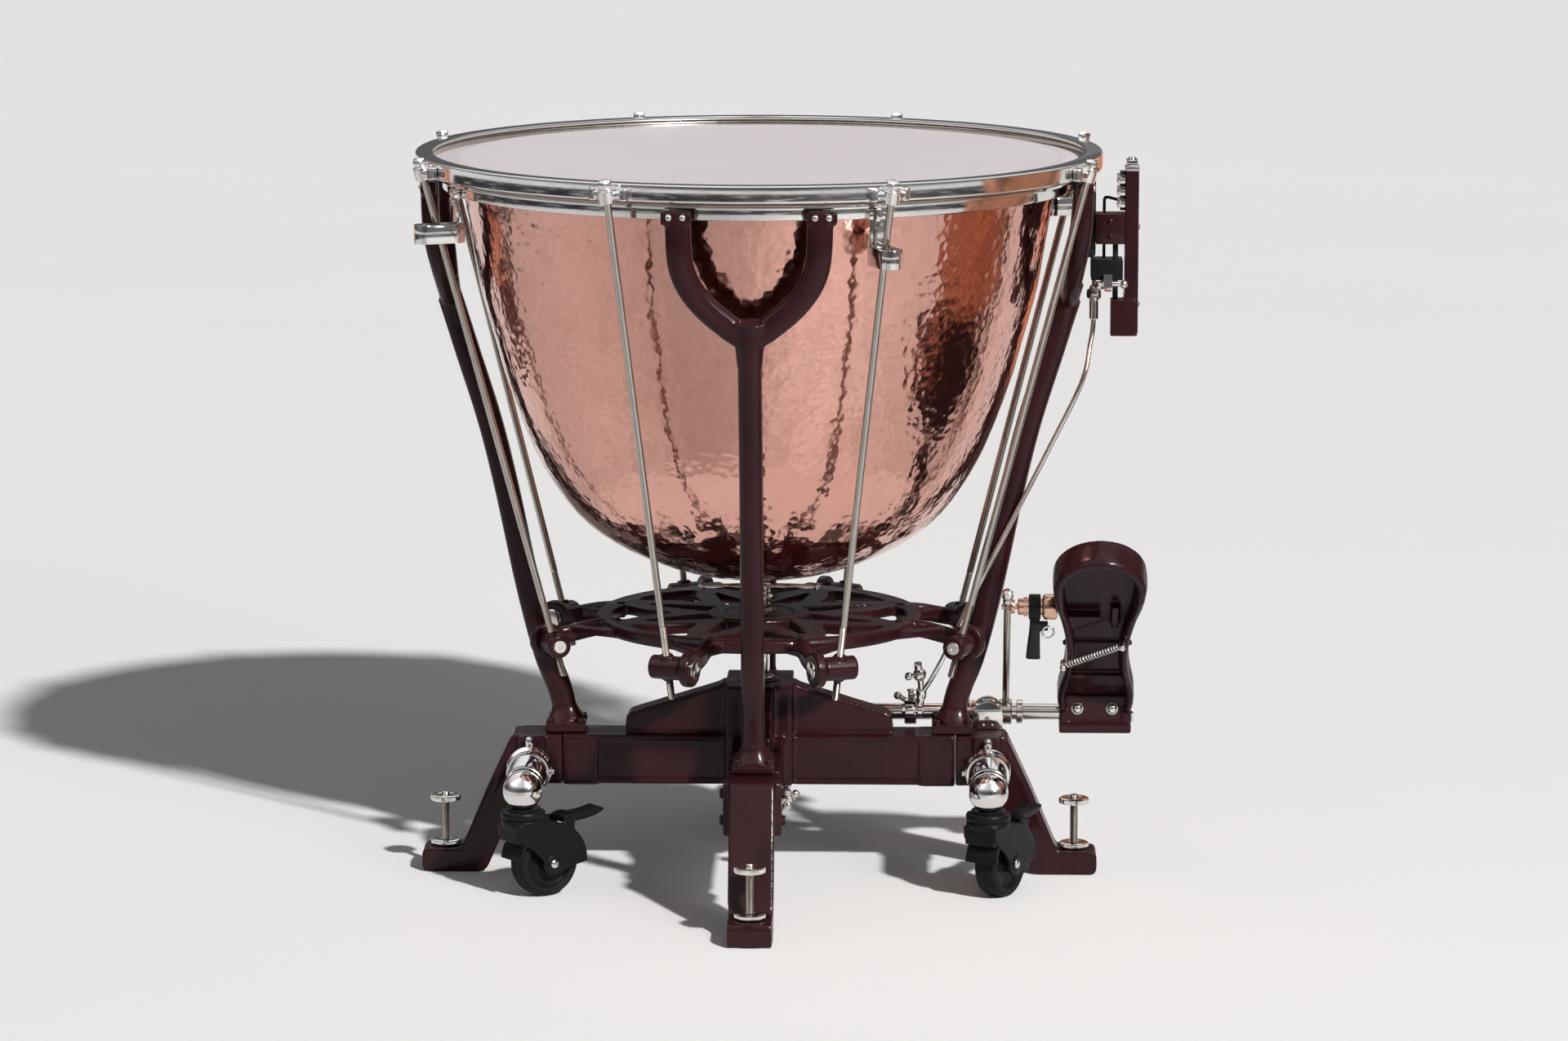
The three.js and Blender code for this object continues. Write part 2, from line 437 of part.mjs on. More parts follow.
// --------------------------------------------------------------------- gauge
piece("gauge_bracket", join(
  fin([[345, 765], [345, 774], [362, 774], [366, 755], [366, 685], [358, 685], [350, 715]], 90, -6, 6),
  fin([[345, 768], [360, 768], [360, 774], [345, 774]], 90, -22, 22),
), BLACK);
piece("gauge_arm", block(366.4, -14, 700, 397.6, 14, 733), WINE);
piece("gauge_rail", join(
  block(398, -8, 598, 413, 20, 792),
  block(382, -12, 598, 410, 12, 640),
  rod(V(388, 0, 636), V(388, 0, 699.6), 3, 10),
), WINE);
piece("gauge_pointer", cut(join(
  block(361, -12, 660, 396, 23, 683),
  rod(V(376, 18, 680), V(376, 18, 748), 1.8, 8),
  rod(V(374.6, 18, 746), V(393, 18, 746), 1.6, 8),
  rod(V(365, 0, 650), V(365, 0, 662), 2.2, 8),
  ball(V(365, 0, 650), 5),
), rod(V(388, 0, 650), V(388, 0, 690), 3.6, 12)), BLACK);
{
  const path = [V(365, 0, 640), V(364.5, -1, 612), V(361, -7, 590), V(352, -20, 549), V(279, -21, 400), V(205, -20, 248), V(187, -14, 214), V(178, PIN_Y, PIN_Z + 14), V(177.5, PIN_Y, PIN_Z + 5)];
  let s = join(
    bar(path, 2.8, 6, 16, 0.3),
    rod(V(365, 0, 617), V(365, 0, 645), 5, 10),
    rod(V(365, 0, 640), V(365, 0, 650), 8, 10),
    rod(V(174.6, PIN_Y, PIN_Z), V(180, PIN_Y, PIN_Z), 6.2, 14),
  );
  s = cut(s, rod(V(170, PIN_Y, PIN_Z), V(185, PIN_Y, PIN_Z), 4, 12), ball(V(365, 0, 650), 5.9));
  piece("gauge_link", s, CHROME);
}

// ---------------------------------------------------------------- rod guides
[22.5, 112.5, -157.5, -67.5].forEach((az, i) => {
  const c = rodAt(725), half = 15.5;
  const stadium = (r) => [...arc(c + half, 0, r, -90, 90, 6), ...arc(c - half, 0, r, 90, 270, 6)];
  const s = join(
    plate(stadium(12.5), 20, polar(az).multiply(M4().makeTranslation(0, 0, 715)), [stadium(9.5).reverse()]),
    solid(new THREE.BoxGeometry(4, 19, 56).translate(346.8, 0, 746.2), polar(az)),
    solid(new THREE.BoxGeometry(9, 19, 16).translate(344.3, 0, 726), polar(az)),
  );
  piece("rod_guide_" + (i + 1), s, CHROME);
});

export default drum;
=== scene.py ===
"""Looks for the pedal kettledrum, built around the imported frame.
Lengths in the helpers are millimetres in the drum's own layout (kettle axis at x = y = 0, front leg
along -Y, pedal side +X, floor z = 0). build() turns them into metres in the frame."""

import math

import bmesh
import bpy
import numpy as np
from mathutils import Matrix, Vector
from mathutils.geometry import tessellate_polygon


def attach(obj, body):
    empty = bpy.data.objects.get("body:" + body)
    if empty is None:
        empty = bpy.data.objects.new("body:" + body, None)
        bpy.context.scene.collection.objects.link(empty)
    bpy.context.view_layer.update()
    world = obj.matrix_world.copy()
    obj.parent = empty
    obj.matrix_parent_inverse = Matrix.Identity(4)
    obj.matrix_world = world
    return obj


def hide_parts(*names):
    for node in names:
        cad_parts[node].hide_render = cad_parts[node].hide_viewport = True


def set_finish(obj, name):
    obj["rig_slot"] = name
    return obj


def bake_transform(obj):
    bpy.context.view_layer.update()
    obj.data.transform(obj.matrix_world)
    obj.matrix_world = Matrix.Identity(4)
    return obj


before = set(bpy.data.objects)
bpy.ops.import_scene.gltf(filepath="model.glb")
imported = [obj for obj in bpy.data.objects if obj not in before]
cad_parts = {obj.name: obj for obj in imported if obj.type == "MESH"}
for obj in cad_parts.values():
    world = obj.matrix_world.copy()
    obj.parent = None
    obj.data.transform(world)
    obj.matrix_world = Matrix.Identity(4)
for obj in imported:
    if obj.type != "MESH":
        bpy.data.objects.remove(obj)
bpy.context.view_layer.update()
AX = -0.0232  # the kettle's axis in the frame
SC = bpy.context.scene
COL = SC.collection

# ------------------------------------------------------------------ camera and light
cam_data = bpy.data.cameras.new("camera")
cam = bpy.data.objects.new("camera", cam_data)
COL.objects.link(cam)
cam.location = (0.185 + AX, -6.318, 1.466)
aim = Vector((0.004, 0.0, 0.392))
cam.rotation_euler = (aim - cam.location).to_track_quat("-Z", "Y").to_euler()
cam_data.sensor_width = 36.0
cam_data.lens = 134.0
cam_data.clip_end = 100
SC.camera = cam


def area(name, loc, target, size, power, color=(1, 1, 1), size_y=None):
    d = bpy.data.lights.new(name, "AREA")
    d.energy = power
    d.color = color
    d.shape = "RECTANGLE"
    d.size = size
    d.size_y = size_y or size
    o = bpy.data.objects.new(name, d)
    COL.objects.link(o)
    o.location = loc
    o.rotation_euler = (Vector(target) - Vector(loc)).to_track_quat("-Z", "Y").to_euler()
    return o


sun = bpy.data.lights.new("key", "SUN")
sun.energy = 4.3
sun.angle = math.radians(2.6)
sun.color = (1.0, 0.985, 0.965)
key = bpy.data.objects.new("key", sun)
COL.objects.link(key)
key.rotation_euler = Vector((-0.45, 0.66, -0.60)).to_track_quat("-Z", "Y").to_euler()
area("soft_right", (2.6, -3.2, 2.4), (0, 0, 0.5), 0.9, 30, (1, 0.99, 0.98), 1.6)


# ------------------------------------------------------------------ node helpers
class Mat:
    def __init__(self, name):
        self.m = bpy.data.materials.new(name)
        self.m.use_nodes = True
        self.t = self.m.node_tree
        self.n = self.t.nodes
        self.l = self.t.links
        self.bsdf = self.n["Principled BSDF"]
        self.co = self.n.new("ShaderNodeTexCoord")

    def set(self, **kw):
        for k, v in kw.items():
            s = self.bsdf.inputs[k.replace("_", " ")]
            s.default_value = (*v, 1.0) if s.type == "RGBA" else v
        return self

    def link(self, a, b):
        self.l.new(a, b)

    def mapped(self, scale=(1, 1, 1), loc=(0, 0, 0)):
        mp = self.n.new("ShaderNodeMapping")
        mp.inputs["Scale"].default_value = scale
        mp.inputs["Location"].default_value = loc
        self.link(self.co.outputs["Object"], mp.inputs["Vector"])
        return mp.outputs["Vector"]

    def noise(self, scale, detail=4, rough=0.55, vec=None, dist=0.0):
        t = self.n.new("ShaderNodeTexNoise")
        t.inputs["Scale"].default_value = scale
        t.inputs["Detail"].default_value = detail
        t.inputs["Roughness"].default_value = rough
        t.inputs["Distortion"].default_value = dist
        self.link(vec or self.co.outputs["Object"], t.inputs["Vector"])
        return t.outputs["Fac"]

    def voronoi(self, scale, feature="F1", vec=None, smooth=0.4):
        t = self.n.new("ShaderNodeTexVoronoi")
        t.feature = feature
        t.inputs["Scale"].default_value = scale
        if feature == "SMOOTH_F1":
            t.inputs["Smoothness"].default_value = smooth
        self.link(vec or self.co.outputs["Object"], t.inputs["Vector"])
        return t.outputs["Distance"]

    def ramp(self, fac, stops, interp="LINEAR"):
        r = self.n.new("ShaderNodeValToRGB")
        r.color_ramp.interpolation = interp
        e = r.color_ramp.elements
        while len(e) < len(stops):
            e.new(0.5)
        for el, (p, c) in zip(e, stops):
            el.position = p
            el.color = (*c, 1) if hasattr(c, "__len__") else (c, c, c, 1)
        self.link(fac, r.inputs["Fac"])
        return r.outputs["Color"]

    def math(self, op, a, b=None, c=None, clamp=False):
        m = self.n.new("ShaderNodeMath")
        m.operation = op
        m.use_clamp = clamp
        for i, v in enumerate((a, b, c)):
            if v is None:
                continue
            if hasattr(v, "links"):
                self.link(v, m.inputs[i])
            else:
                m.inputs[i].default_value = v
        return m.outputs[0]

    def maprange(self, v, a, b, c, d):
        m = self.n.new("ShaderNodeMapRange")
        self.link(v, m.inputs["Value"])
        for k, x in zip(("From Min", "From Max", "To Min", "To Max"), (a, b, c, d)):
            m.inputs[k].default_value = x
        return m.outputs["Result"]

    def mix(self, fac, a, b, blend="MIX"):
        m = self.n.new("ShaderNodeMix")
        m.data_type = "RGBA"
        m.blend_type = blend
        ins = [i for i in m.inputs if i.name in ("Factor", "A", "B") and i.enabled]
        for s, v in zip(ins, (fac, a, b)):
            if hasattr(v, "links"):
                self.link(v, s)
            elif hasattr(v, "__len__"):
                s.default_value = (*v, 1)
            else:
                s.default_value = v
        return [o for o in m.outputs if o.enabled][0]

    def bump(self, height, strength=0.2, dist=0.001, prev=None):
        b = self.n.new("ShaderNodeBump")
        b.inputs["Strength"].default_value = strength
        b.inputs["Distance"].default_value = dist
        self.link(height, b.inputs["Height"])
        if prev is not None:
            self.link(prev, b.inputs["Normal"])
        return b.outputs["Normal"]

    def out(self, **kw):
        for k, v in kw.items():
            self.link(v, self.bsdf.inputs[k.replace("_", " ")])
        return self.m


def copper():
    m = Mat("hammered_copper").set(Metallic=1.0)
    big = m.noise(5.0, 3, 0.5)
    mid = m.noise(42.0, 4, 0.6)
    fine = m.noise(320.0, 3, 0.6)
    base = m.ramp(big, [(0.3, (0.705, 0.372, 0.305)), (0.7, (0.770, 0.428, 0.358))])
    base = m.mix(m.maprange(mid, 0.50, 0.76, 0.0, 0.35), base, (0.57, 0.265, 0.205))
    rough = m.maprange(m.math("ADD", m.math("MULTIPLY", mid, 0.6), m.math("MULTIPLY", fine, 0.4)), 0.3, 0.7, 0.060, 0.150)
    h1 = m.voronoi(118.0, "F1")
    h0 = m.voronoi(61.0, "SMOOTH_F1", smooth=0.25)
    h2 = m.noise(420.0, 2, 0.5)
    n = m.bump(h0, 0.26, 0.0016)
    n = m.bump(h1, 0.30, 0.0010, n)
    n = m.bump(h2, 0.06, 0.0004, n)
    return m.out(Base_Color=base, Roughness=rough, Normal=n)


def copper_inside():
    m = Mat("copper_inside").set(Metallic=1.0)
    f = m.noise(30, 4)
    base = m.ramp(f, [(0.35, (0.50, 0.27, 0.20)), (0.7, (0.62, 0.36, 0.27))])
    return m.out(Base_Color=base, Roughness=m.maprange(f, 0.3, 0.7, 0.32, 0.45), Normal=m.bump(m.voronoi(88.0), 0.2, 0.001))


def wine():
    m = Mat("wine_casting").set(Metallic=0.0, Coat_Weight=0.34, Coat_Roughness=0.15, Specular_IOR_Level=0.05)
    big = m.noise(14, 3)
    grain = m.noise(620, 3, 0.7)
    peel = m.noise(210, 2, 0.5)
    base = m.ramp(big, [(0.3, (0.0155, 0.0036, 0.0050)), (0.72, (0.0265, 0.0060, 0.0082))])
    base = m.mix(m.maprange(grain, 0.6, 0.8, 0.0, 0.35), base, (0.052, 0.017, 0.021))
    rough = m.maprange(grain, 0.3, 0.7, 0.30, 0.44)
    n = m.bump(grain, 0.20, 0.0006)
    n = m.bump(peel, 0.14, 0.0010, n)
    return m.out(Base_Color=base, Roughness=rough, Normal=n)


def chrome(name="chrome", tint=(0.80, 0.785, 0.765), r0=0.05, r1=0.14):
    m = Mat(name).set(Metallic=1.0)
    smudge = m.noise(34, 4, 0.6)
    micro = m.noise(900, 2, 0.5)
    base = m.ramp(smudge, [(0.35, tint), (0.75, tuple(c * 0.93 for c in tint))])
    rough = m.maprange(m.math("ADD", m.math("MULTIPLY", smudge, 0.7), m.math("MULTIPLY", micro, 0.3)), 0.3, 0.7, r0, r1)
    return m.out(Base_Color=base, Roughness=rough, Normal=m.bump(m.noise(60, 2), 0.06, 0.0006))


def steel():
    m = Mat("nickel_rod").set(Metallic=1.0, Anisotropic=0.3)
    v = m.mapped((260, 260, 26))
    streak = m.noise(1.0, 3, 0.5, v)
    base = m.ramp(streak, [(0.3, (0.43, 0.395, 0.358)), (0.7, (0.52, 0.485, 0.445))])
    return m.out(Base_Color=base, Roughness=m.maprange(streak, 0.3, 0.7, 0.12, 0.20), Normal=m.bump(streak, 0.03, 0.0002))


def film():
    m = Mat("head_film").set(Metallic=0.0, Specular_IOR_Level=0.5, Subsurface_Weight=0.25, Subsurface_Scale=0.004,
                             Subsurface_Radius=(0.6, 0.5, 0.45))
    cloud = m.noise(2.6, 4, 0.6)
    fibre = m.noise(210, 3, 0.65)
    base = m.ramp(cloud, [(0.3, (0.640, 0.575, 0.588)), (0.7, (0.698, 0.632, 0.642))])
    base = m.mix(m.maprange(fibre, 0.5, 0.75, 0.0, 0.18), base, (0.56, 0.495, 0.50))
    # the film is a touch greyer where it lies over the bearing edge
    sep = m.n.new("ShaderNodeVectorMath")
    sep.operation = "MULTIPLY"
    sep.inputs[1].default_value = (1, 1, 0)
    mp = m.mapped((1, 1, 1), (-AX, 0, 0))
    m.link(mp, sep.inputs[0])
    ln = m.n.new("ShaderNodeVectorMath")
    ln.operation = "LENGTH"
    m.link(sep.outputs[0], ln.inputs[0])
    edge = m.ramp(ln.outputs["Value"], [(0.3235, 0.0), (0.3285, 1.0), (0.3330, 0.85), (0.3365, 0.25)])
    base = m.mix(m.math("MULTIPLY", edge, 0.32), base, (0.44, 0.39, 0.40))
    return m.out(Base_Color=base, Roughness=m.maprange(fibre, 0.3, 0.7, 0.36, 0.50), Normal=m.bump(fibre, 0.10, 0.0003))


def plastic(name="black_nylon", col=(0.0065, 0.0065, 0.008), rough=(0.30, 0.46), grain=700):
    m = Mat(name).set(Metallic=0.0, Specular_IOR_Level=0.11)
    g = m.noise(grain, 3, 0.6)
    dust = m.noise(26, 4, 0.65)
    base = m.mix(m.maprange(dust, 0.55, 0.8, 0.0, 0.40), col, tuple(c * 2.2 + 0.006 for c in col))
    return m.out(Base_Color=base, Roughness=m.maprange(g, 0.3, 0.7, *rough), Normal=m.bump(g, 0.22, 0.0004))


def rubber():
    m = Mat("tyre_rubber").set(Metallic=0.0, Specular_IOR_Level=0.11)
    g = m.noise(420, 4, 0.7)
    dust = m.noise(18, 4, 0.6)
    base = m.mix(m.maprange(dust, 0.5, 0.8, 0.0, 0.6), (0.008, 0.008, 0.009), (0.026, 0.025, 0.024))
    return m.out(Base_Color=base, Roughness=m.maprange(g, 0.3, 0.7, 0.55, 0.75), Normal=m.bump(g, 0.35, 0.0005))


def bronze():
    m = Mat("bronze_clutch").set(Metallic=1.0)
    g = m.noise(60, 4)
    base = m.ramp(g, [(0.3, (0.62, 0.37, 0.27)), (0.7, (0.74, 0.48, 0.36))])
    return m.out(Base_Color=base, Roughness=m.maprange(g, 0.3, 0.7, 0.16, 0.30), Normal=m.bump(m.noise(300, 2), 0.1, 0.0003))


COPPER, INSIDE, WINE, CHROME, STEEL, FILM = copper(), copper_inside(), wine(), chrome(), steel(), film()
NICKEL = chrome("nickel_plate", (0.74, 0.70, 0.655), 0.10, 0.22)
BLACK, SATIN_BLACK, TYRE, BRONZE = plastic(), plastic("black_paint", (0.014, 0.014, 0.016), (0.28, 0.42), 420), rubber(), bronze()
FELT = plastic("bearing_nylon", (0.30, 0.29, 0.27), (0.5, 0.7), 500)
SLOT = {COPPER: "copper", INSIDE: "copper", WINE: "wine_casting", CHROME: "chrome", STEEL: "steel", FILM: "head_film", NICKEL: "chrome",
        BLACK: "black_plastic", SATIN_BLACK: "black_paint", TYRE: "tyre", BRONZE: "bronze", FELT: "black_plastic"}


# ------------------------------------------------------------------ shape helpers (mm)
def rad(d):
    return math.radians(d)


def mat4(ex, ey, ez, o=(0, 0, 0)):
    m = np.eye(4)
    m[:3, 0], m[:3, 1], m[:3, 2], m[:3, 3] = ex, ey, ez, o
    return m


def polar(az):
    """local x radial outward, y tangential, z up"""
    a = rad(az)
    return mat4((math.sin(a), -math.cos(a), 0), (math.cos(a), math.sin(a), 0), (0, 0, 1))


def xf(m, v):
    v = np.asarray(v, float)
    return v @ m[:3, :3].T + m[:3, 3]


def at(az, r, t, z):
    return xf(polar(az), (r, t, z))


def frame_of(a, b):
    """a basis at a whose z runs to b"""
    a, b = np.asarray(a, float), np.asarray(b, float)
    d = b - a
    n = np.linalg.norm(d)
    d = d / n
    h = np.array((0, 0, 1.0)) if abs(d[2]) < 0.9 else np.array((1.0, 0, 0))
    x = np.cross(h, d)
    x /= np.linalg.norm(x)
    y = np.cross(d, x)
    return mat4(x, y, d, a), n


def lathe(profile, seg=64, m=None, a0=0.0):
    """Revolves [r, z] pairs about local z. A profile whose ends are on the axis is closed there; a loop (first = last) is closed as a ring."""
    pr = [tuple(map(float, p)) for p in profile]
    loop = pr[0] == pr[-1]
    if loop:
        pr = pr[:-1]
    V, F, rows = [], [], []
    ang = a0 + np.arange(seg) * 2 * math.pi / seg
    c, s = np.cos(ang), np.sin(ang)
    for r, z in pr:
        if r < 1e-6:
            rows.append([len(V)] * seg)
            V.append((0, 0, z))
        else:
            rows.append(list(range(len(V), len(V) + seg)))
            V.extend(zip(r * c, r * s, np.full(seg, z)))
    n = len(pr)
    for i in range(n if loop else n - 1):
        A, B = rows[i], rows[(i + 1) % n]
        for j in range(seg):
            k = (j + 1) % seg
            q = [A[j], A[k], B[k], B[j]]
            q = [x for x, y in zip(q, q[1:] + q[:1]) if x != y]
            if len(set(q)) >= 3:
                F.append(q)
    if not loop:
        for row, rev in ((rows[0], True), (rows[-1], False)):
            if len(set(row)) > 1:
                F.append(row[::-1] if rev else row)
    V = np.array(V, float)
    return (xf(m, V) if m is not None else V), F


def cyl(a, b, r0, r1=None, seg=32, ch=0.0):
    m, n = frame_of(a, b)
    r1 = r0 if r1 is None else r1
    if ch:
        pr = [(0, 0), (r0 - ch, 0), (r0 - ch * 0.3, ch * 0.3), (r0, ch), (r1, n - ch), (r1 - ch * 0.3, n - ch * 0.3), (r1 - ch, n), (0, n)]
    else:
        pr = [(0, 0), (r0, 0), (r1, n), (0, n)]
    return lathe(pr, seg, m)


def turned(a, b, profile, seg=48):
    """profile [r, distance from a] about the line a to b"""
    m, n = frame_of(a, b)
    return lathe(profile, seg, m)


def hexhead(a, d, af, h, seg=6, washer=None):
    """hex head standing on a along d, across-flats af, height h"""
    a = np.asarray(a, float)
    d = np.asarray(d, float) / np.linalg.norm(d)
    m, _ = frame_of(a, a + d)
    R = af / 2 / math.cos(math.pi / 6)
    out = [lathe([(0, 0), (R, 0), (R, h * 0.82), (R * 0.86, h), (0, h)], 6, m)]
    if washer:
        out.append(lathe([(0, -1.2), (washer - 0.4, -1.2), (washer, -0.8), (washer, -0.2), (washer - 0.4, 0.2), (0, 0.2)], 32, m))
    return out


def dome(a, d, r, h, seg=24):
    a = np.asarray(a, float)
    d = np.asarray(d, float) / np.linalg.norm(d)
    m, _ = frame_of(a, a + d)
    pr = [(0, -0.6), (r, -0.6), (r, 0.0)] + [(r * math.cos(rad(t)), h * math.sin(rad(t))) for t in (18, 36, 54, 72)] + [(0, h)]
    return lathe(pr, seg, m)


def sphere(c, r, seg=24, rings=14):
    pr = [(r * math.sin(math.pi * i / rings), -r * math.cos(math.pi * i / rings)) for i in range(rings + 1)]
    pr[0], pr[-1] = (0, -r), (0, r)
    return lathe(pr, seg, mat4((1, 0, 0), (0, 1, 0), (0, 0, 1), c))


def box(x0, y0, z0, x1, y1, z1, m=None):
    V = np.array([(x, y, z) for z in (z0, z1) for y in (y0, y1) for x in (x0, x1)], float)
    F = [[0, 2, 3, 1], [4, 5, 7, 6], [0, 1, 5, 4], [2, 6, 7, 3], [0, 4, 6, 2], [1, 3, 7, 5]]
    return (xf(m, V) if m is not None else V), F


def prism(outline, d0, d1, m):
    """outline [u, v] extruded along local z from d0 to d1"""
    o = [tuple(map(float, p)) for p in outline]
    if sum(a[0] * b[1] - b[0] * a[1] for a, b in zip(o, o[1:] + o[:1])) < 0:
        o = o[::-1]
    n = len(o)
    V = np.array([(x, y, d0) for x, y in o] + [(x, y, d1) for x, y in o])
    F = [list(range(n))[::-1], list(range(n, 2 * n))] + [[i, (i + 1) % n, n + (i + 1) % n, n + i] for i in range(n)]
    return xf(m, V), F


def fin(outline, az, t0, t1):
    """side elevation [radius, height], thickness across the radial plane"""
    P = polar(az)
    m = mat4(P[:3, 0], (0, 0, 1), -P[:3, 1])
    return prism(outline, -t1, -t0, m)


def arcpts(cx, cy, r, a0, a1, n):
    return [(cx + r * math.cos(rad(a0 + (a1 - a0) * i / n)), cy + r * math.sin(rad(a0 + (a1 - a0) * i / n))) for i in range(n + 1)]


def catmull(points, n):
    p = np.asarray(points, float)
    p = np.vstack([2 * p[0] - p[1], p, 2 * p[-1] - p[-2]])
    out = []
    k = len(p) - 3
    for i in range(k):
        a, b, c, d = p[i:i + 4]
        for s in range(n):
            t = s / n
            out.append(0.5 * (2 * b + (c - a) * t + (2 * a - 5 * b + 4 * c - d) * t * t + (3 * b - a - 3 * c + d) * t ** 3))
    out.append(p[-2])
    return np.array(out)


def sweep(path, section, up=(0, 0, 1), scale=None):
    """section: [u, v] points, v towards 'up' as seen along the path; closed ends"""
    P = np.asarray(path, float)
    S = np.asarray(section, float)
    T = np.gradient(P, axis=0)
    T /= np.linalg.norm(T, axis=1)[:, None]
    V, k = [], len(S)
    for i, (p, t) in enumerate(zip(P, T)):
        u = np.asarray(up(i) if callable(up) else up, float)
        v = u - t * (u @ t)
        v /= np.linalg.norm(v)
        w = np.cross(t, v)
        sc = 1.0 if scale is None else scale[i]
        su, sv = (sc if hasattr(sc, "__len__") else (sc, sc))
        V.append(p + np.outer(S[:, 0] * su, w) + np.outer(S[:, 1] * sv, v))
    V = np.vstack(V)
    F = []
    for i in range(len(P) - 1):
        for j in range(k):
            a, b = i * k + j, i * k + (j + 1) % k
            F.append([a, b, b + k, a + k])
    F.append(list(range(k))[::-1])
    F.append(list(range((len(P) - 1) * k, len(P) * k)))
    return V, F


def round_sec(r, n=20):
    return [(r * math.cos(2 * math.pi * i / n), r * math.sin(2 * math.pi * i / n)) for i in range(n)]


def soft_sec(w, h, e=3.2, n=28):
    """rounded rectangle of half sizes w, h"""
    out = []
    for i in range(n):
        a = 2 * math.pi * i / n
        c, s = math.cos(a), math.sin(a)
        out.append((w * math.copysign(abs(c) ** (2 / e), c), h * math.copysign(abs(s) ** (2 / e), s)))
    return out


def pipe(points, r, n=16, sub=8, smooth=True):
    P = catmull(points, sub) if smooth else np.asarray(points, float)
    return sweep(P, round_sec(r, n), up=lambda i: (0.02, 1, 0.03))


def build(name, prims, mat, body, nodes=(), voxel=None, relax=4, bevel=None, cutters=(), angle=32, spin=None, to_frame=True):
    """One Blender piece out of closed shapes. voxel joins them into one casting."""
    if isinstance(prims, tuple):
        prims = [prims]

    def mesh_of(items, nm):
        V, F, o = [], [], 0
        for v, f in items:
            V.append(np.asarray(v, float))
            F.extend([[i + o for i in q] for q in f])
            o += len(v)
        V = np.vstack(V) * 0.001
        V[:, 0] += AX
        me = bpy.data.meshes.new(nm)
        me.from_pydata(V.tolist(), [], F)
        me.validate()
        bm = bmesh.new()
        bm.from_mesh(me)
        bmesh.ops.recalc_face_normals(bm, faces=bm.faces)
        bm.to_mesh(me)
        bm.free()
        return me

    me = mesh_of(prims, name)
    ob = bpy.data.objects.new(name, me)
    COL.objects.link(ob)
    extra = []
    if cutters:
        if voxel:
            md = ob.modifiers.new("u", "REMESH")
            md.mode, md.voxel_size = "VOXEL", voxel * 0.001
        for i, c in enumerate(cutters):
            co = bpy.data.objects.new(name + "_cut%d" % i, mesh_of([c], name + "_cut%d" % i))
            COL.objects.link(co)
            md = ob.modifiers.new("c%d" % i, "BOOLEAN")
            md.operation, md.solver, md.object = "DIFFERENCE", "EXACT", co
            if not voxel:
                md.use_self = True
            extra.append(co)
    if voxel:
        md = ob.modifiers.new("v", "REMESH")
        md.mode, md.voxel_size = "VOXEL", voxel * 0.001
        if relax:
            md = ob.modifiers.new("s", "SMOOTH")
            md.factor, md.iterations = 0.5, relax
    if bevel:
        md = ob.modifiers.new("b", "BEVEL")
        md.width, md.segments, md.limit_method, md.angle_limit = bevel * 0.001, 2, "ANGLE", rad(34)
        md.miter_outer = "MITER_ARC"
    if ob.modifiers:
        dg = bpy.context.evaluated_depsgraph_get()
        new = bpy.data.meshes.new_from_object(ob.evaluated_get(dg))
        ob.modifiers.clear()
        ob.data = new
        new.name = name
    for co in extra:
        bpy.data.objects.remove(co)
    me = ob.data
    me.materials.clear()
    me.materials.append(mat)
    me.shade_smooth()
    if not voxel:
        me.set_sharp_from_angle(angle=rad(angle))
    if body is not None:
        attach(ob, body)
    if nodes:
        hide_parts(*([nodes] if isinstance(nodes, str) else nodes))
    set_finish(ob, SLOT[mat])
    return ob


def turned_copy(ob, name, deg, body, nodes=()):
    """the same mesh turned about the kettle's axis"""
    me = ob.data.copy()
    me.name = name
    R = Matrix.Translation((AX, 0, 0)) @ Matrix.Rotation(rad(deg), 4, "Z") @ Matrix.Translation((-AX, 0, 0))
    me.transform(R)
    o = bpy.data.objects.new(name, me)
    COL.objects.link(o)
    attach(o, body)
    if nodes:
        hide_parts(*([nodes] if isinstance(nodes, str) else nodes))
    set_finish(o, ob["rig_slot"])
    return o


# ------------------------------------------------------------------ shared sizes
LUGS = [22.5, 67.5, 112.5, 157.5, -157.5, -112.5, -67.5, -22.5]
ROD_TOP, ROD_BOT = (385.0, 797.0), (238.0, 270.0)


def rod_r(z):
    return ROD_BOT[0] + (z - ROD_BOT[1]) / (ROD_TOP[1] - ROD_BOT[1]) * (ROD_TOP[0] - ROD_BOT[0])


RD = np.array((ROD_TOP[0] - ROD_BOT[0], 0, ROD_TOP[1] - ROD_BOT[1]))
RD /= np.linalg.norm(RD)


def ring_profile(r0, z0, r1, z1, e, n=4):
    """rectangle with rounded corners, counter-clockwise loop of [r, z]"""
    pts = []
    for cx, cz, a in ((r1 - e, z0 + e, -90), (r1 - e, z1 - e, 0), (r0 + e, z1 - e, 90), (r0 + e, z0 + e, 180)):
        pts += arcpts(cx, cz, e, a, a + 90, n)
    return pts + [pts[0]]


# ------------------------------------------------------------------ kettle
KETTLE = [(12.5, 331), (30, 331.6), (50, 333.5), (75, 338.2), (100, 345.3), (125, 355), (150, 367), (172, 380.5), (190, 394.5), (206, 411), (220, 430),
          (234, 452), (247, 477), (257, 501), (267, 528), (278, 560), (287, 592), (296, 624), (304, 656), (310, 690), (315.5, 722), (320, 750), (324, 770),
          (327.4, 779), (329.2, 786), (329.8, 793.0)]


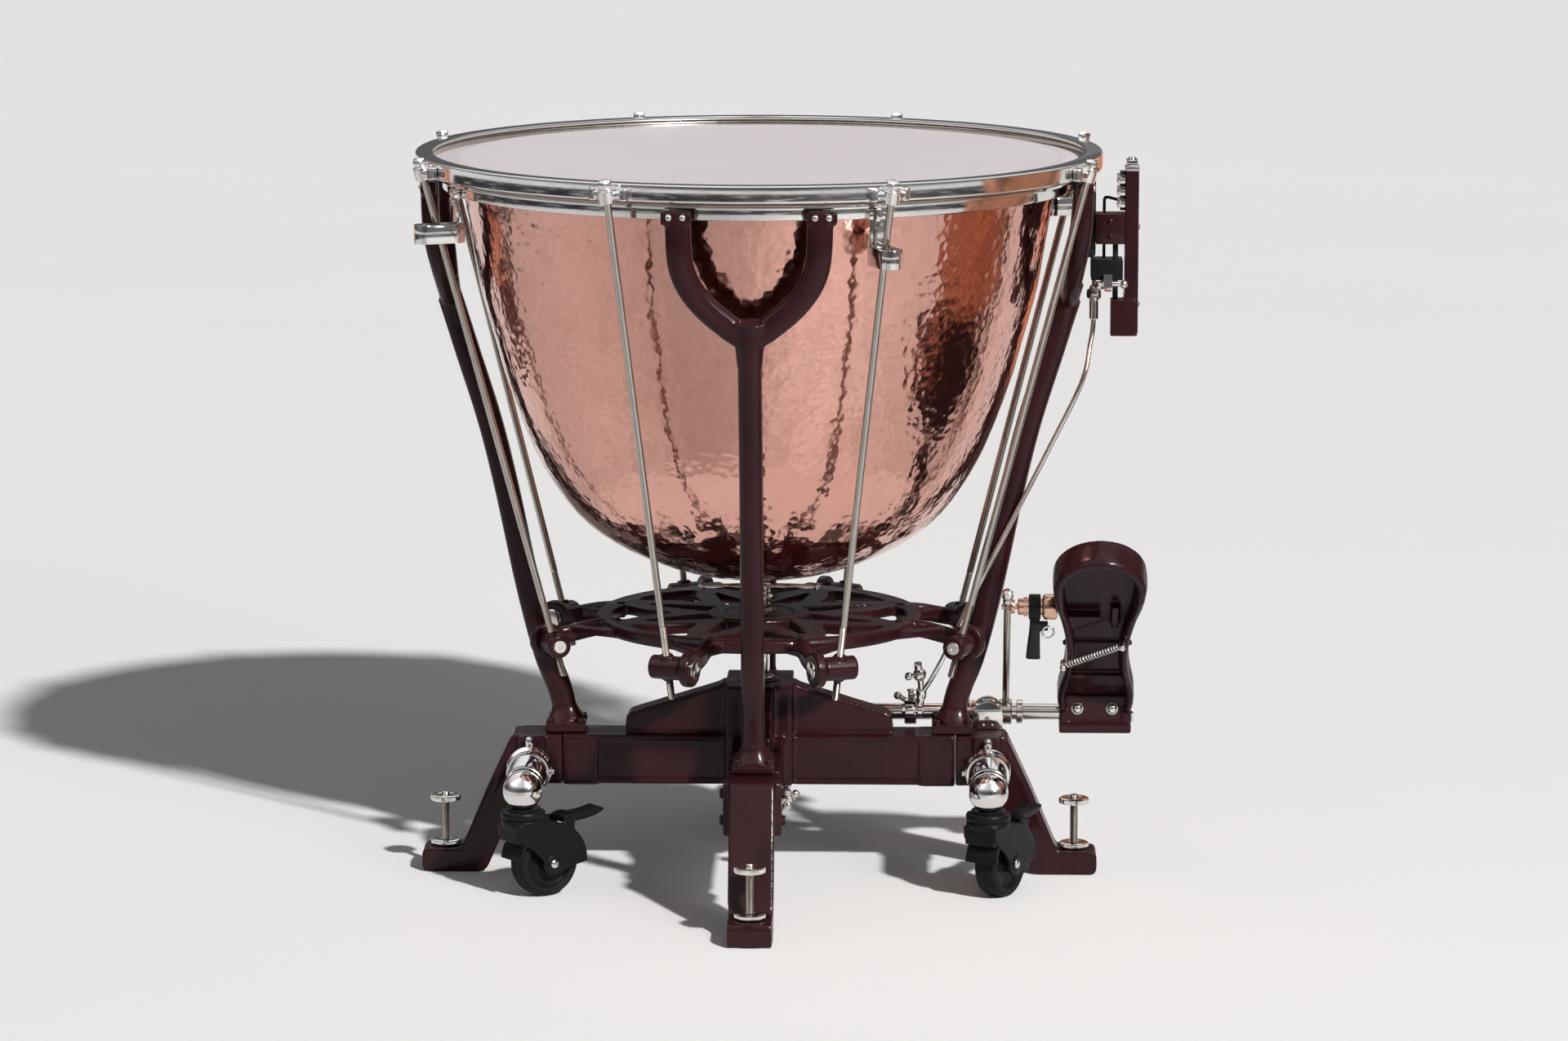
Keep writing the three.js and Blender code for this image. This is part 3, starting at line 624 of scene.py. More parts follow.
def kettle():
    P = catmull([(r, 0, z) for r, z in KETTLE], 10)[:, [0, 2]]
    # even spacing along the profile
    d = np.r_[0, np.cumsum(np.hypot(*np.diff(P, axis=0).T))]
    n = 250
    s = np.linspace(0, d[-1], n)
    R, Z = np.interp(s, d, P[:, 0]), np.interp(s, d, P[:, 1])
    T = np.gradient(np.c_[R, Z], axis=0)
    T /= np.hypot(*T.T)[:, None]
    N = np.c_[T[:, 1], -T[:, 0]]  # outward
    seg = 756
    th = np.arange(seg) * 2 * math.pi / seg
    # hammer marks: rows of dents at jittered centres, each a shallow dish
    step = 10.5
    rng = np.random.default_rng(26)
    rows = int(d[-1] / step) + 2
    dist = np.full((n, seg), 1e9)
    S = s[:, None]
    for j in range(-1, rows + 1):
        sc = (j + 0.5) * step
        if sc < -step or sc > d[-1] + step:
            continue
        rj = max(15.0, np.interp(np.clip(sc, 0, d[-1]), s, R))
        nc = max(6, int(round(2 * math.pi * rj / step)))
        jt = rng.uniform(-0.36, 0.36, nc)
        js = rng.uniform(-0.36, 0.36, nc) * step
        off = rng.uniform(0, 1)
        sel = np.abs(s - sc) < 2.2 * step
        if not sel.any():
            continue
        c0 = np.floor(th / (2 * math.pi) * nc - off).astype(int)
        for dc in (-1, 0, 1):
            c = (c0 + dc) % nc
            tc = (c + 0.5 + off + jt[c]) * 2 * math.pi / nc
            dth = (th - tc + math.pi) % (2 * math.pi) - math.pi
            dd = np.hypot(S[sel] - (sc + js[c])[None, :], R[sel][:, None] * dth[None, :])
            dist[sel] = np.minimum(dist[sel], dd)
    dent = np.clip(1 - (dist / 8.2) ** 2, 0, 1)
    # low waves left by the planishing
    wave = (0.35 * np.sin(th[None, :] * 17 + S / 23) + 0.3 * np.sin(th[None, :] * 31 - S / 37 + 1.3) + 0.25 * np.sin(th[None, :] * 9 + S / 61 + 0.4))
    fade = np.clip((d[-1] - s) / 26, 0, 1)[:, None] * np.clip(s / 20, 0, 1)[:, None]
    disp = (-0.27 * dent + 0.22 * wave) * fade
    RR = R[:, None] + N[:, 0:1] * disp
    ZZ = Z[:, None] + N[:, 1:2] * disp
    V = np.stack([RR * np.cos(th), RR * np.sin(th), ZZ], -1).reshape(-1, 3)
    F = []
    idx = np.arange(n * seg).reshape(n, seg)
    a, b = idx[:-1], idx[1:]
    F = np.stack([a, np.roll(a, -1, 1), np.roll(b, -1, 1), b], -1).reshape(-1, 4).tolist()
    build("kettle_outside", (V, F), COPPER, "root", "kettle_bowl")
    # inner face, rolled bearing edge and vent rim
    inner = [(r - 1.5 * nx, z - 1.5 * nz) for r, z, (nx, nz) in zip(R[::8], Z[::8], N[::8])]
    prof = [(12.5, 331.0)] + [(13.0, 332.5)] + inner[1:] + [(327.6, 792.6)] + [(328.2, 793.2), (328.9, 793.5), (329.6, 793.3), (329.8, 793.0)]
    V, F = lathe(prof, 192)
    F = [f for f in F if len(f) <= 4]
    build("kettle_inside", (V, F), INSIDE, "root")
    # the grommet of the vent hole
    build("vent_grommet", lathe(ring_profile(9.5, 328.6, 15.5, 334.2, 1.3) , 64), CHROME, "root")


kettle()

# bearing-edge film: flat over the kettle, down over the edge to the flesh hoop
prof = [(0, 795.0), (60, 795.0), (120, 795.0), (180, 795.0), (240, 795.0), (290, 795.0), (318, 795.0), (325, 795.05), (329, 795.0), (333, 794.5), (338, 793.6), (344, 792.3), (350, 791.0), (356.5, 789.6),
        (356.4, 789.2), (350, 790.6), (344, 791.9), (338, 793.2), (333, 794.1), (329, 794.6), (325, 794.65), (318, 794.6), (240, 794.6), (120, 794.6), (0, 794.6)]
head = build("head_film", lathe(prof, 256), FILM, None, "drumhead", angle=60)
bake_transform(head)

build("flesh_hoop_ring", lathe(ring_profile(356.2, 785.2, 366.4, 797.2, 2.2), 256), STEEL, "tension_frame", "flesh_hoop")

# counterhoop: inverted channel with a rounded crown
hp = [(354.2, 798.7), (354.1, 799.6), (354.3, 801.2), (355.0, 801.9), (356.0, 802.05), (370.6, 802.05), (371.9, 801.7), (372.8, 800.8), (373.0, 799.4),
      (373.0, 786.2), (372.8, 784.9), (372.1, 784.1), (371.2, 784.0), (370.2, 784.2), (369.4, 785.2), (369.3, 786.6), (369.3, 796.4), (368.6, 797.6), (367, 798.0), (357, 798.0), (355, 798.1), (354.2, 798.7)]
build("counterhoop_ring", lathe(hp, 320), CHROME, "tension_frame", "counterhoop")

# suspension ring under it, with its outer lip
rp = [(331.2, 774.7), (338.2, 774.6), (338.2, 764.2), (338.8, 763.1), (340, 762.8), (342.6, 762.8), (343.8, 763.4), (344.2, 764.6), (344.2, 773.9), (344.9, 774.6), (350.6, 774.6), (351.7, 775.2),
      (352.0, 776.4), (352.0, 778.4), (351.4, 779.6), (350.2, 780.0), (333, 780.0), (331.6, 779.6), (331.2, 778.6), (331.2, 774.7)]
build("suspension_ring_band", lathe(rp, 320), CHROME, "root", "suspension_ring")

# ------------------------------------------------------------------ tension rods, hoop ears, trunnions
for i, az in enumerate(LUGS):
    P = polar(az)
    # forged ear: boss round the rod, a cross bar with ball ends, and a web to the hoop
    a0, a1 = at(az, rod_r(783.2), 0, 783.2), at(az, rod_r(797.4), 0, 797.4)
    ear = [cyl(a0, a1, 9.0, 8.8, 40, 1.0), box(371.4, -8, 785.0, 382, 8, 796.6, P), box(371.2, -13.5, 786.4, 376.8, 13.5, 795.0, P)]
    for t in (-1, 1):
        ear.append(sweep(catmull([at(az, 384, 0, 790), at(az, 381.5, t * 8, 790.6), at(az, 377.6, t * 15, 791.2)], 5), soft_sec(4.6, 4.2, 2.4, 20), up=(0, 0, 1)))
        ear.append(cyl(at(az, 377.6, t * 16.8, 784.6), at(az, 377.6, t * 16.8, 798.2), 5.5, 5.5, 28, 1.4))
    build("hoop_ear_%d" % (i + 1), ear, CHROME, "tension_frame", voxel=0.62, relax=5)
    # hex-head rod with a washer, thread showing below the trunnion
    z0 = 798.4
    h = at(az, rod_r(z0), 0, z0)
    d = xf(P, RD)
    stem = [turned(at(az, rod_r(318), 0, 318), h, [(0, 0), (3.9, 0), (3.9, np.linalg.norm(h - at(az, rod_r(318), 0, 318))), (0, np.linalg.norm(h - at(az, rod_r(318), 0, 318)))], 20)]
    lo, hi = at(az, rod_r(234.3), 0, 234.3), at(az, rod_r(318), 0, 318)
    L = np.linalg.norm(hi - lo)
    thread, k = [(0, 0), (2.9, 0.0), (3.5, 1.2)], 1.2
    while k < L - 2:
        thread += [(3.9, k + 0.35), (3.4, k + 0.9)]
        k += 1.1
    thread += [(3.9, L), (0, L)]
    build("rod_stem_%d" % (i + 1), stem, STEEL, "tension_frame", "tension_rod_%d" % (i + 1))
    build("rod_thread_%d" % (i + 1), turned(lo, hi, thread, 16), STEEL, "tension_frame", angle=50)
    build("rod_head_%d" % (i + 1), hexhead(h, d, 12.8, 8.0, washer=7.4) + [dome(h + d * 8.0, d, 3.0, 0.9)], CHROME, "tension_frame", bevel=0.3)
    # trunnion barrel in the spider's cheek
    c = (ROD_BOT[0], 0, ROD_BOT[1])
    b = [turned(xf(P, (238, -18.5, 270)), xf(P, (238, 18.5, 270)), [(0, 0), (10.6, 0), (12.0, 0.5), (12.8, 1.8), (12.8, 35.2), (12.0, 36.5), (10.6, 37), (0, 37)], 48),
         cyl(at(az, rod_r(284.5), 0, 284.5), at(az, rod_r(256.5), 0, 256.5), 7.4, 7.0, 32, 1.0)]
    build("trunnion_%d" % (i + 1), b, WINE, "tension_frame", voxel=1.1, relax=3)
    near = 1 if abs(az) % 90 < 45 else -1
    side = -near if az > 0 else near
    pins = [turned(xf(P, (238, s * 18.2, 270)), xf(P, (238, s * 19.2, 270)), [(0, 0), (6.6, 0), (7.0, 0.35), (6.6, 0.9), (2.2, 1.0), (1.6, 0.5), (0, 0.5)], 40) for s in (-side,)]
    pins += [turned(xf(P, (238, side * 30.9, 270)), xf(P, (238, side * 33.4, 270)), [(0, 0), (9.8, 0), (10.2, 0.5), (10.0, 1.6), (8.8, 2.3), (0, 2.5)], 40)]
    build("trunnion_pin_%d" % (i + 1), pins, NICKEL, "tension_frame")

# ------------------------------------------------------------------ spider
def holed(outer, holes, z0, z1, m=None):
    """flat plate with holes; all outlines are [x, y]"""
    loops = [[Vector((x, y, 0)) for x, y in lp] for lp in [outer] + holes]
    tri = tessellate_polygon(loops)
    flat = [p for lp in loops for p in lp]
    n = len(flat)
    V = np.array([(p.x, p.y, z0) for p in flat] + [(p.x, p.y, z1) for p in flat])
    F = [[c, b, a] for a, b, c in tri] + [[a + n, b + n, c + n] for a, b, c in tri]
    o = 0
    for lp in loops:
        k = len(lp)
        F += [[o + i, o + (i + 1) % k, n + o + (i + 1) % k, n + o + i] for i in range(k)]
        o += k
    return (xf(m, V) if m is not None else V), F


def rounded(poly, r, n=5):
    """rounds the corners of an [x, y] polygon"""
    out = []
    for i in range(len(poly)):
        p0, p, p1 = (np.array(poly[(i + d) % len(poly)], float) for d in (-1, 0, 1))
        a, b = p0 - p, p1 - p
        la, lb = np.linalg.norm(a), np.linalg.norm(b)
        a, b = a / la, b / lb
        h = math.acos(np.clip(a @ b, -1, 1)) / 2
        t = min(r / math.tan(h), la * 0.48, lb * 0.48)
        q0, q1 = p + a * t, p + b * t
        for k in range(n + 1):
            s_ = k / n
            out.append(tuple((1 - s_) ** 2 * q0 + 2 * s_ * (1 - s_) * p + s_ ** 2 * q1))
    return out


def PR(r, a):
    return (r * math.sin(rad(a)), -r * math.cos(rad(a)))


holes = []
for k in range(8):
    a = 22.5 + 45 * k
    holes.append(rounded([PR(54, a - 17), PR(54, a + 17), PR(90, a + 7.5), PR(133, a + 1.2), PR(133, a - 1.2), PR(90, a - 7.5)], 5))
    m_ = a + 22.5
    holes.append(rounded([PR(90, m_), PR(127, m_ + 8.5), PR(156, m_ + 17), PR(161, m_ + 10), PR(162, m_), PR(161, m_ - 10), PR(156, m_ - 17), PR(127, m_ - 8.5)], 7))
sp = [holed([PR(177.4, 2.5 * i) for i in range(144)], holes, 277.6, 289.2),
      lathe([(165, 276.2), (176.4, 276.0), (178.4, 278), (178.6, 288.4), (176.8, 290.6), (170, 291.0), (164.5, 290.2), (163.6, 288), (163.6, 278), (165, 276.2)], 160),
      lathe([(8.8, 264), (37, 264), (38.5, 266), (38.5, 286), (36, 290.0), (30, 291.4), (29, 292), (8.8, 292), (8.8, 264)], 96),
      lathe([(38, 276.5), (55, 276.5), (56.4, 278), (56.4, 289), (54.6, 290.6), (38, 291.2), (38, 276.5)], 96)]
for k, az in enumerate(LUGS):
    near = 1 if abs(az) % 90 < 45 else -1
    side = -near if az > 0 else near
    path = catmull([at(az, 158, side * 12, 283.2), at(az, 183, side * 20, 281.6), at(az, 208, side * 24.8, 276.5), at(az, 238, side * 25.2, 270)], 9)
    sp.append(sweep(path, soft_sec(5.8, 9.6, 3.4, 20), up=(0, 0, 1)))
    sp.append(turned(xf(polar(az), (238, side * 19.6, 270)), xf(polar(az), (238, side * 30.9, 270)), [(0, 0), (18, 0), (19.2, 1.2), (19.2, 10.1), (18, 11.3), (0, 11.3)], 48))
    # the web that runs from the rim's corner to the cheek
    sp.append(holed(rounded([PR(170, az - 13), PR(170, az + 13), tuple(at(az, 205, side * 29, 0)[:2]), tuple(at(az, 212, side * 20, 0)[:2])] if side > 0 else
                            [PR(170, az - 13), PR(170, az + 13), tuple(at(az, 212, side * 20, 0)[:2]), tuple(at(az, 205, side * 29, 0)[:2])], 4), [], 276.4, 285.2))
build("spider_casting", sp, WINE, "tension_frame", "spider", voxel=1.45, relax=4)
build("spider_hub_cap", [lathe([(8.8, 292.1), (18.5, 292.1), (19.2, 292.6), (19.2, 292.9), (8.8, 293.0), (8.8, 292.1)], 64)], NICKEL, "tension_frame")

# column, fine tuner
cp = [(0, 158.2), (10.5, 158.2), (11.5, 159.4), (11.5, 196), (10.6, 197.5), (11.5, 199), (11.5, 262), (10.4, 263.4), (8, 263.6), (8, 292.5)]
k = 293.0
while k < 313:
    cp += [(8.0, k), (7.35, k + 0.7)]
    k += 1.4
cp += [(7.0, 314), (0, 314)]
build("pull_spindle", [lathe(cp, 48)], CHROME, "tension_frame", "pull_column")
build("pull_yoke", [box(-9, 5, 158, 3, 17, 188), box(-9, 30, 158, 3, 46, 188), box(-9, 10, 158, 3, 36, 166), box(-9, 10, 178, 3, 36, 188)], NICKEL, "tension_frame", voxel=1.0, relax=1)
nut = [lathe([(8.9, 293.4), (14.2, 293.4), (15.0, 294.3), (15.0, 309.0), (14.0, 310.2), (8.9, 310.4), (8.9, 293.4)], 6),
       lathe([(0, 314.4), (9, 314.4), (12.6, 315.4), (13.2, 318.2), (12.4, 321.2), (9.5, 322.4), (0, 322.8)], 48),
       lathe([(8.9, 310.2), (12.6, 310.4), (12.6, 315.2), (8.9, 315.2), (8.9, 310.2)], 48),
       cyl((-64, 0, 318.4), (64, 0, 318.4), 2.7, 2.7, 20, 0.5), sphere((-63, 0, 318.4), 4.2), sphere((63, 0, 318.4), 4.2)]
build("fine_tuner_bar", nut, CHROME, "fine_tuner", "fine_tuner", bevel=0.25)

# ------------------------------------------------------------------ struts
STRUT = [(214, 170), (216.5, 190), (222.5, 210), (236, 245), (255, 320), (278, 431), (296, 505), (319, 579), (331, 618), (338, 640)]
sp = catmull([(r, 0, z) for r, z in STRUT], 8)
n = len(sp)
sc = [1.0 + 0.62 * max(0, (186 - p[2]) / 16) ** 1.4 if p[2] < 186 else 1.0 for p in sp]
strut = [sweep(sp, soft_sec(12.6, 13.6, 2.7, 28), up=(1, 0, 0), scale=sc)]
half = [(0, 337.5, 642), (12, 338.2, 645.5), (27, 340.0, 656.5), (42, 342.4, 669.5), (55, 345.0, 684), (64.5, 348.0, 699.5), (70.4, 350.6, 717), (72.6, 352.2, 738), (73.6, 353, 774.0)]
full = [(r, -t, z) for t, r, z in half[::-1]] + [(r, t, z) for t, r, z in half[1:]]
fp = catmull(full, 7)
strut.append(sweep(fp, soft_sec(13.6, 9.8, 2.5, 28), up=(1, 0, 0)))
# web that fills the crotch, and the square pads under the ring
strut.append(sweep(catmull([(331, 0, 610), (335, 0, 628), (338.5, 0, 646), (341, 0, 658)], 5), soft_sec(14, 10.5, 2.4, 24), up=(1, 0, 0), scale=np.linspace(0.95, 1.3, 16)))
for t in (-75.2, 75.2):
    strut.append(box(344.9, t - 15.8, 760.5, 361.8, t + 15.8, 774.2))
strut += [box(190.4, -22.8, 156.5, 235.6, 22.8, 167.5)]
# drum layout: radial x of the front strut is -Y
FRONT = polar(0)
strut = [(xf(FRONT, v), f) for v, f in strut]
keep_out = [lathe([(0, 690), (344.7, 690), (344.7, 800), (0, 800)], 128)]
s_front = build("strut_front_casting", strut, WINE, "root", "strut_front", voxel=1.7, relax=6)
turned_copy(s_front, "strut_right_casting", 90, "root", "strut_right")
turned_copy(s_front, "strut_back_casting", 180, "root", "strut_back")
turned_copy(s_front, "strut_left_casting", -90, "root", "strut_left")
bolts, feet = [], []
for az in (0, 90, 180, -90):
    for t in (-82.6, -68.2, 68.2, 82.6):
        a = at(az, 361.7, t, 768.2)
        bolts.append(dome(a, at(az, 1, 0, 0), 3.7, 2.6))
        bolts.append(cyl(at(az, 358.5, t, 768.2), a, 4.2, 4.2, 20))
    for r_, t in ((196, -16.5), (196, 16.5), (230, -16.5), (230, 16.5)):
        feet += hexhead(at(az, r_, t, 168.3), (0, 0, 1), 8.0, 4.4, washer=5.6)
build("ring_screws", bolts, NICKEL, "root")
build("strut_foot_bolts", feet, WINE, "root", bevel=0.25)

# ------------------------------------------------------------------ base casting
hub = []
for az in (0, 90, 180, -90):
    P = polar(az)
    hub += [box(36, -26, 101.5, 216.2, -18.5, 156, P), box(36, 18.5, 101.5, 216.2, 26, 156, P), box(28, -26, 147, 216.2, 26, 156, P),
            box(205, -26, 101.5, 216.2, 26, 156, P), box(178, -27.6, 99.6, 216.2, -20, 157.0, P), box(178, 20, 99.6, 216.2, 27.6, 157.0, P),
            box(36, -26, 101.5, 176, -23, 112, P), box(36, 23, 101.5, 176, 26, 112, P)]
    top = 62 if az == 180 else 40
    hub += [fin([(30, 150), (147, 150), (148, 160), (146, 176), (141, 180), (top + 4, 210), (top, 213), (30, 213)], az, -16, 16)]
    # raised edge bead along the arm's top and bottom
    for t in (-26, 26):
        hub.append(cyl(at(az, 40, t, 154), at(az, 214, t, 154), 2.6, 2.6, 16))
        hub.append(cyl(at(az, 40, t, 103.2), at(az, 214, t, 103.2), 2.4, 2.4, 16))
hub += [box(-37, -37, 101.5, -29, 62, 213), box(29, -37, 101.5, 37, 62, 213), box(-37, -37, 101.5, 37, -29, 213), box(-37, 54, 101.5, 37, 62, 213),
        box(-37, -37, 205, 37, -12, 213), box(-37, 12, 205, 37, 62, 213), box(-37, -37, 205, -12, 62, 213), box(12, -37, 205, 37, 62, 213),
        lathe([(12.5, 204), (22, 204), (22, 215.2), (20.5, 216.4), (13.2, 216.4), (12.5, 215.6), (12.5, 204)], 64)]
build("base_casting", hub, WINE, "root", "base_hub", voxel=1.9, relax=6)
build("column_bush", lathe([(11.8, 204), (16.5, 216.6), (17.0, 218.2), (15.5, 219.0), (11.9, 219.0), (11.8, 204)], 64), NICKEL, "root")

# ------------------------------------------------------------------ legs, feet and levelling screws
LEGP = [(216.6, 100.5), (250, 100.5), (253, 98.5), (257, 92.5), (285, 40), (296, 15), (300, 6), (304, 1.6), (309, 0), (366, 0), (371.5, 1.6), (373, 6), (373, 20), (371, 25), (366, 26.2), (334, 26.2), (330, 27.5), (326.5, 33),
        (300, 96), (274, 152), (270, 156), (216.6, 156)]
for name, az in (("front", 0), ("right", 90), ("left", -90)):
    P = polar(az)
    leg = [fin(LEGP, az, -23.6, 23.6), fin([(216.6, 100.5), (262, 100.5), (262, 156), (216.6, 156)], az, -27, 27),
           fin([(236, 97.5), (238, 96), (264, 96), (266, 98), (266, 153), (263, 155), (238, 155), (236, 153)], az, -31.2, 31.2),
           # rounded toe of the foot in plan
           cyl(at(az, 348, 0, 0), at(az, 348, 0, 26.2), 24.6, 24.0, 48), box(309, -23.8, 0, 350, 23.8, 26.0, P),
           # the shallow channel's side rails down the sloping face
           fin([(262, 150), (272, 150), (300, 92), (324, 36), (318, 36), (292, 92)], az, -24.3, -18.5), fin([(262, 150), (272, 150), (300, 92), (324, 36), (318, 36), (292, 92)], az, 18.5, 24.3)]
    if name == "right":
        leg.append(box(236, 20, 139, 266, 50, 156))
    cut_hole = cyl(at(az, 348, 0, -6), at(az, 348, 0, 40), 5.3, 5.3, 32)
    build("leg_casting_" + name, leg, WINE, "root", "leg_" + name, voxel=1.45, relax=6, cutters=(cut_hole,))
    c = at(az, 348, 0, 0)
    T = mat4((1, 0, 0), (0, 1, 0), (0, 0, 1), c)
    pr = [(0, 0.2), (2.6, 0.2), (4.4, 2.0)]
    k = 2.6
    while k < 74.5:
        pr += [(4.5, k + 0.35), (3.95, k + 0.9)]
        k += 1.25
    pr += [(4.5, 75.2), (4.5, 85.6), (3.6, 86.4), (0, 86.4)]
    disc = [(r_, z_ - 8.0) for r_, z_ in [(0, 83.4), (7.5, 83.4), (8.2, 84.2), (15.0, 84.4), (16.2, 85.0), (16.6, 86.0), (16.6, 89.4), (16.1, 90.4), (14.8, 91.0), (9.5, 91.1), (8.6, 90.7), (0, 90.6)]]
    build("levelling_rod_" + name, [lathe(pr, 24, T)], STEEL, "levelling_screw_" + name, "levelling_screw_" + name, angle=50)
    dv, df = lathe(disc, 144, T)
    # knurl: every other rim point pulled in a little
    dd = dv - c
    rr = np.hypot(dd[:, 0], dd[:, 1])
    ang = np.round(np.degrees(np.arctan2(dd[:, 1], dd[:, 0])) / 2.5).astype(int)
    kk = np.where((rr > 16.3) & (ang % 2 == 0), 0.965, 1.0)
    dv[:, :2] = c[:2] + dd[:, :2] * kk[:, None]
    build("levelling_wheel_" + name, [(dv, df)], CHROME, "levelling_screw_" + name, angle=20)
    nut = [(5.2, 27.0), (14.6, 27.0), (16.2, 27.9), (16.6, 28.8), (16.6, 31.2), (16.1, 32.2), (14.4, 32.9), (8.8, 33.0), (6.2, 32.9), (5.2, 32.2), (5.2, 27.0)]
    nv, nf = lathe(nut, 144, T)
    dd = nv - c
    rr = np.hypot(dd[:, 0], dd[:, 1])
    ang = np.round(np.degrees(np.arctan2(dd[:, 1], dd[:, 0])) / 2.5).astype(int)
    kk = np.where((rr > 16.3) & (ang % 2 == 0), 0.965, 1.0)
    nv[:, :2] = c[:2] + dd[:, :2] * kk[:, None]
    build("levelling_nut_" + name, [(nv, nf)], CHROME, "lock_nut_" + name, "lock_nut_" + name, angle=20)
    ft = []
    for s in (-1, 1):
        ft.append(hexhead(at(az, 251, s * 30.9, 140), at(az, 0, s, 0), 10, 4.2, washer=7)[0])
        ft.append(hexhead(at(az, 251, s * 30.9, 111), at(az, 0, s, 0), 10, 4.2, washer=7)[0])
    if name == "front":
        build("leg_bolts_" + name, ft, WINE, "root", bevel=0.3)
    else:
        build("leg_bolts_" + name, [f for i, f in enumerate(ft) if (i // 2 == (0 if name == "left" else 1))], WINE, "root", bevel=0.3)

rb = [fin([(216.6, 100.5), (256, 100.5), (260, 103), (262, 107), (262, 148), (260, 153), (255, 156), (216.6, 156)], 180, -27, 27),
      cyl((0, 240, 98.6), (0, 240, 104), 17, 17, 40), cyl((0, 240, 154), (0, 240, 158.5), 15, 13.5, 40)]
build("rear_arm_end", rb, WINE, "root", "rear_caster_block", voxel=1.5, relax=5, cutters=(cyl((0, 240, 90), (0, 240, 130), 6.3, 6.3, 32),))
build("rear_stem_nut", hexhead((0, 240, 158.2), (0, 0, 1), 13, 6.5, washer=9), NICKEL, "root", bevel=0.35)

# ------------------------------------------------------------------ caster tubes
for name, side in (("left", -1), ("right", 1)):
    T = mat4((1, 0, 0), (0, 0, 1), (0, -1, 0), (side * 252, 0, 120))
    pr = [(17.3, 32.2), (24.0, 32.2), (25.2, 33.2), (25.4, 34.2), (25.4, 39.6), (24.6, 41.4), (22.4, 42.6), (21.3, 44.0), (21.6, 46.4), (21.2, 47.4), (21.2, 118), (20.6, 118.8), (20.6, 120.2), (21.2, 121.0),
          (21.2, 128.5), (20.0, 129.2), (20.0, 131.2), (21.2, 131.9), (21.2, 145.5), (19.7, 146.3), (19.7, 148.4), (21.2, 149.3), (21.4, 152)]
    pr += [(21.4 * math.cos(rad(a)), 152 + 20.6 * math.sin(rad(a))) for a in range(9, 90, 9)] + [(0, 172.6), (0, 168), (16, 152), (17.3, 44), (17.3, 32.2)]
    V, F = lathe(pr, 72, T)
    build("tube_with_ball_" + name, (V, F), CHROME, "root", "caster_tube_" + name, angle=40)
    # clamp ears, stud and set screws on the flange
    st = [cyl(xf(T, (0, 24.5, 37)), xf(T, (0, 33.5, 37)), 4.6, 4.6, 24, 0.6), dome(xf(T, (0, 33.2, 37)), (0, 0, 1), 4.2, 2.4)]
    st += [lathe([(21.0, 57), (23.4, 57), (23.9, 57.6), (23.9, 63.4), (23.4, 64), (21.0, 64), (21.0, 57)], 72, T), cyl(xf(T, (0, -21, 60.5)), xf(T, (0, -27.5, 60.5)), 3.3, 3.3, 20, 0.5)]
    st += [cyl(xf(T, (side * -21, 2, 60.5)), xf(T, (side * -28.5, 2, 60.5)), 3.0, 3.0, 20, 0.5)]
    build("tube_collar_" + name, st, CHROME, "root", bevel=None)

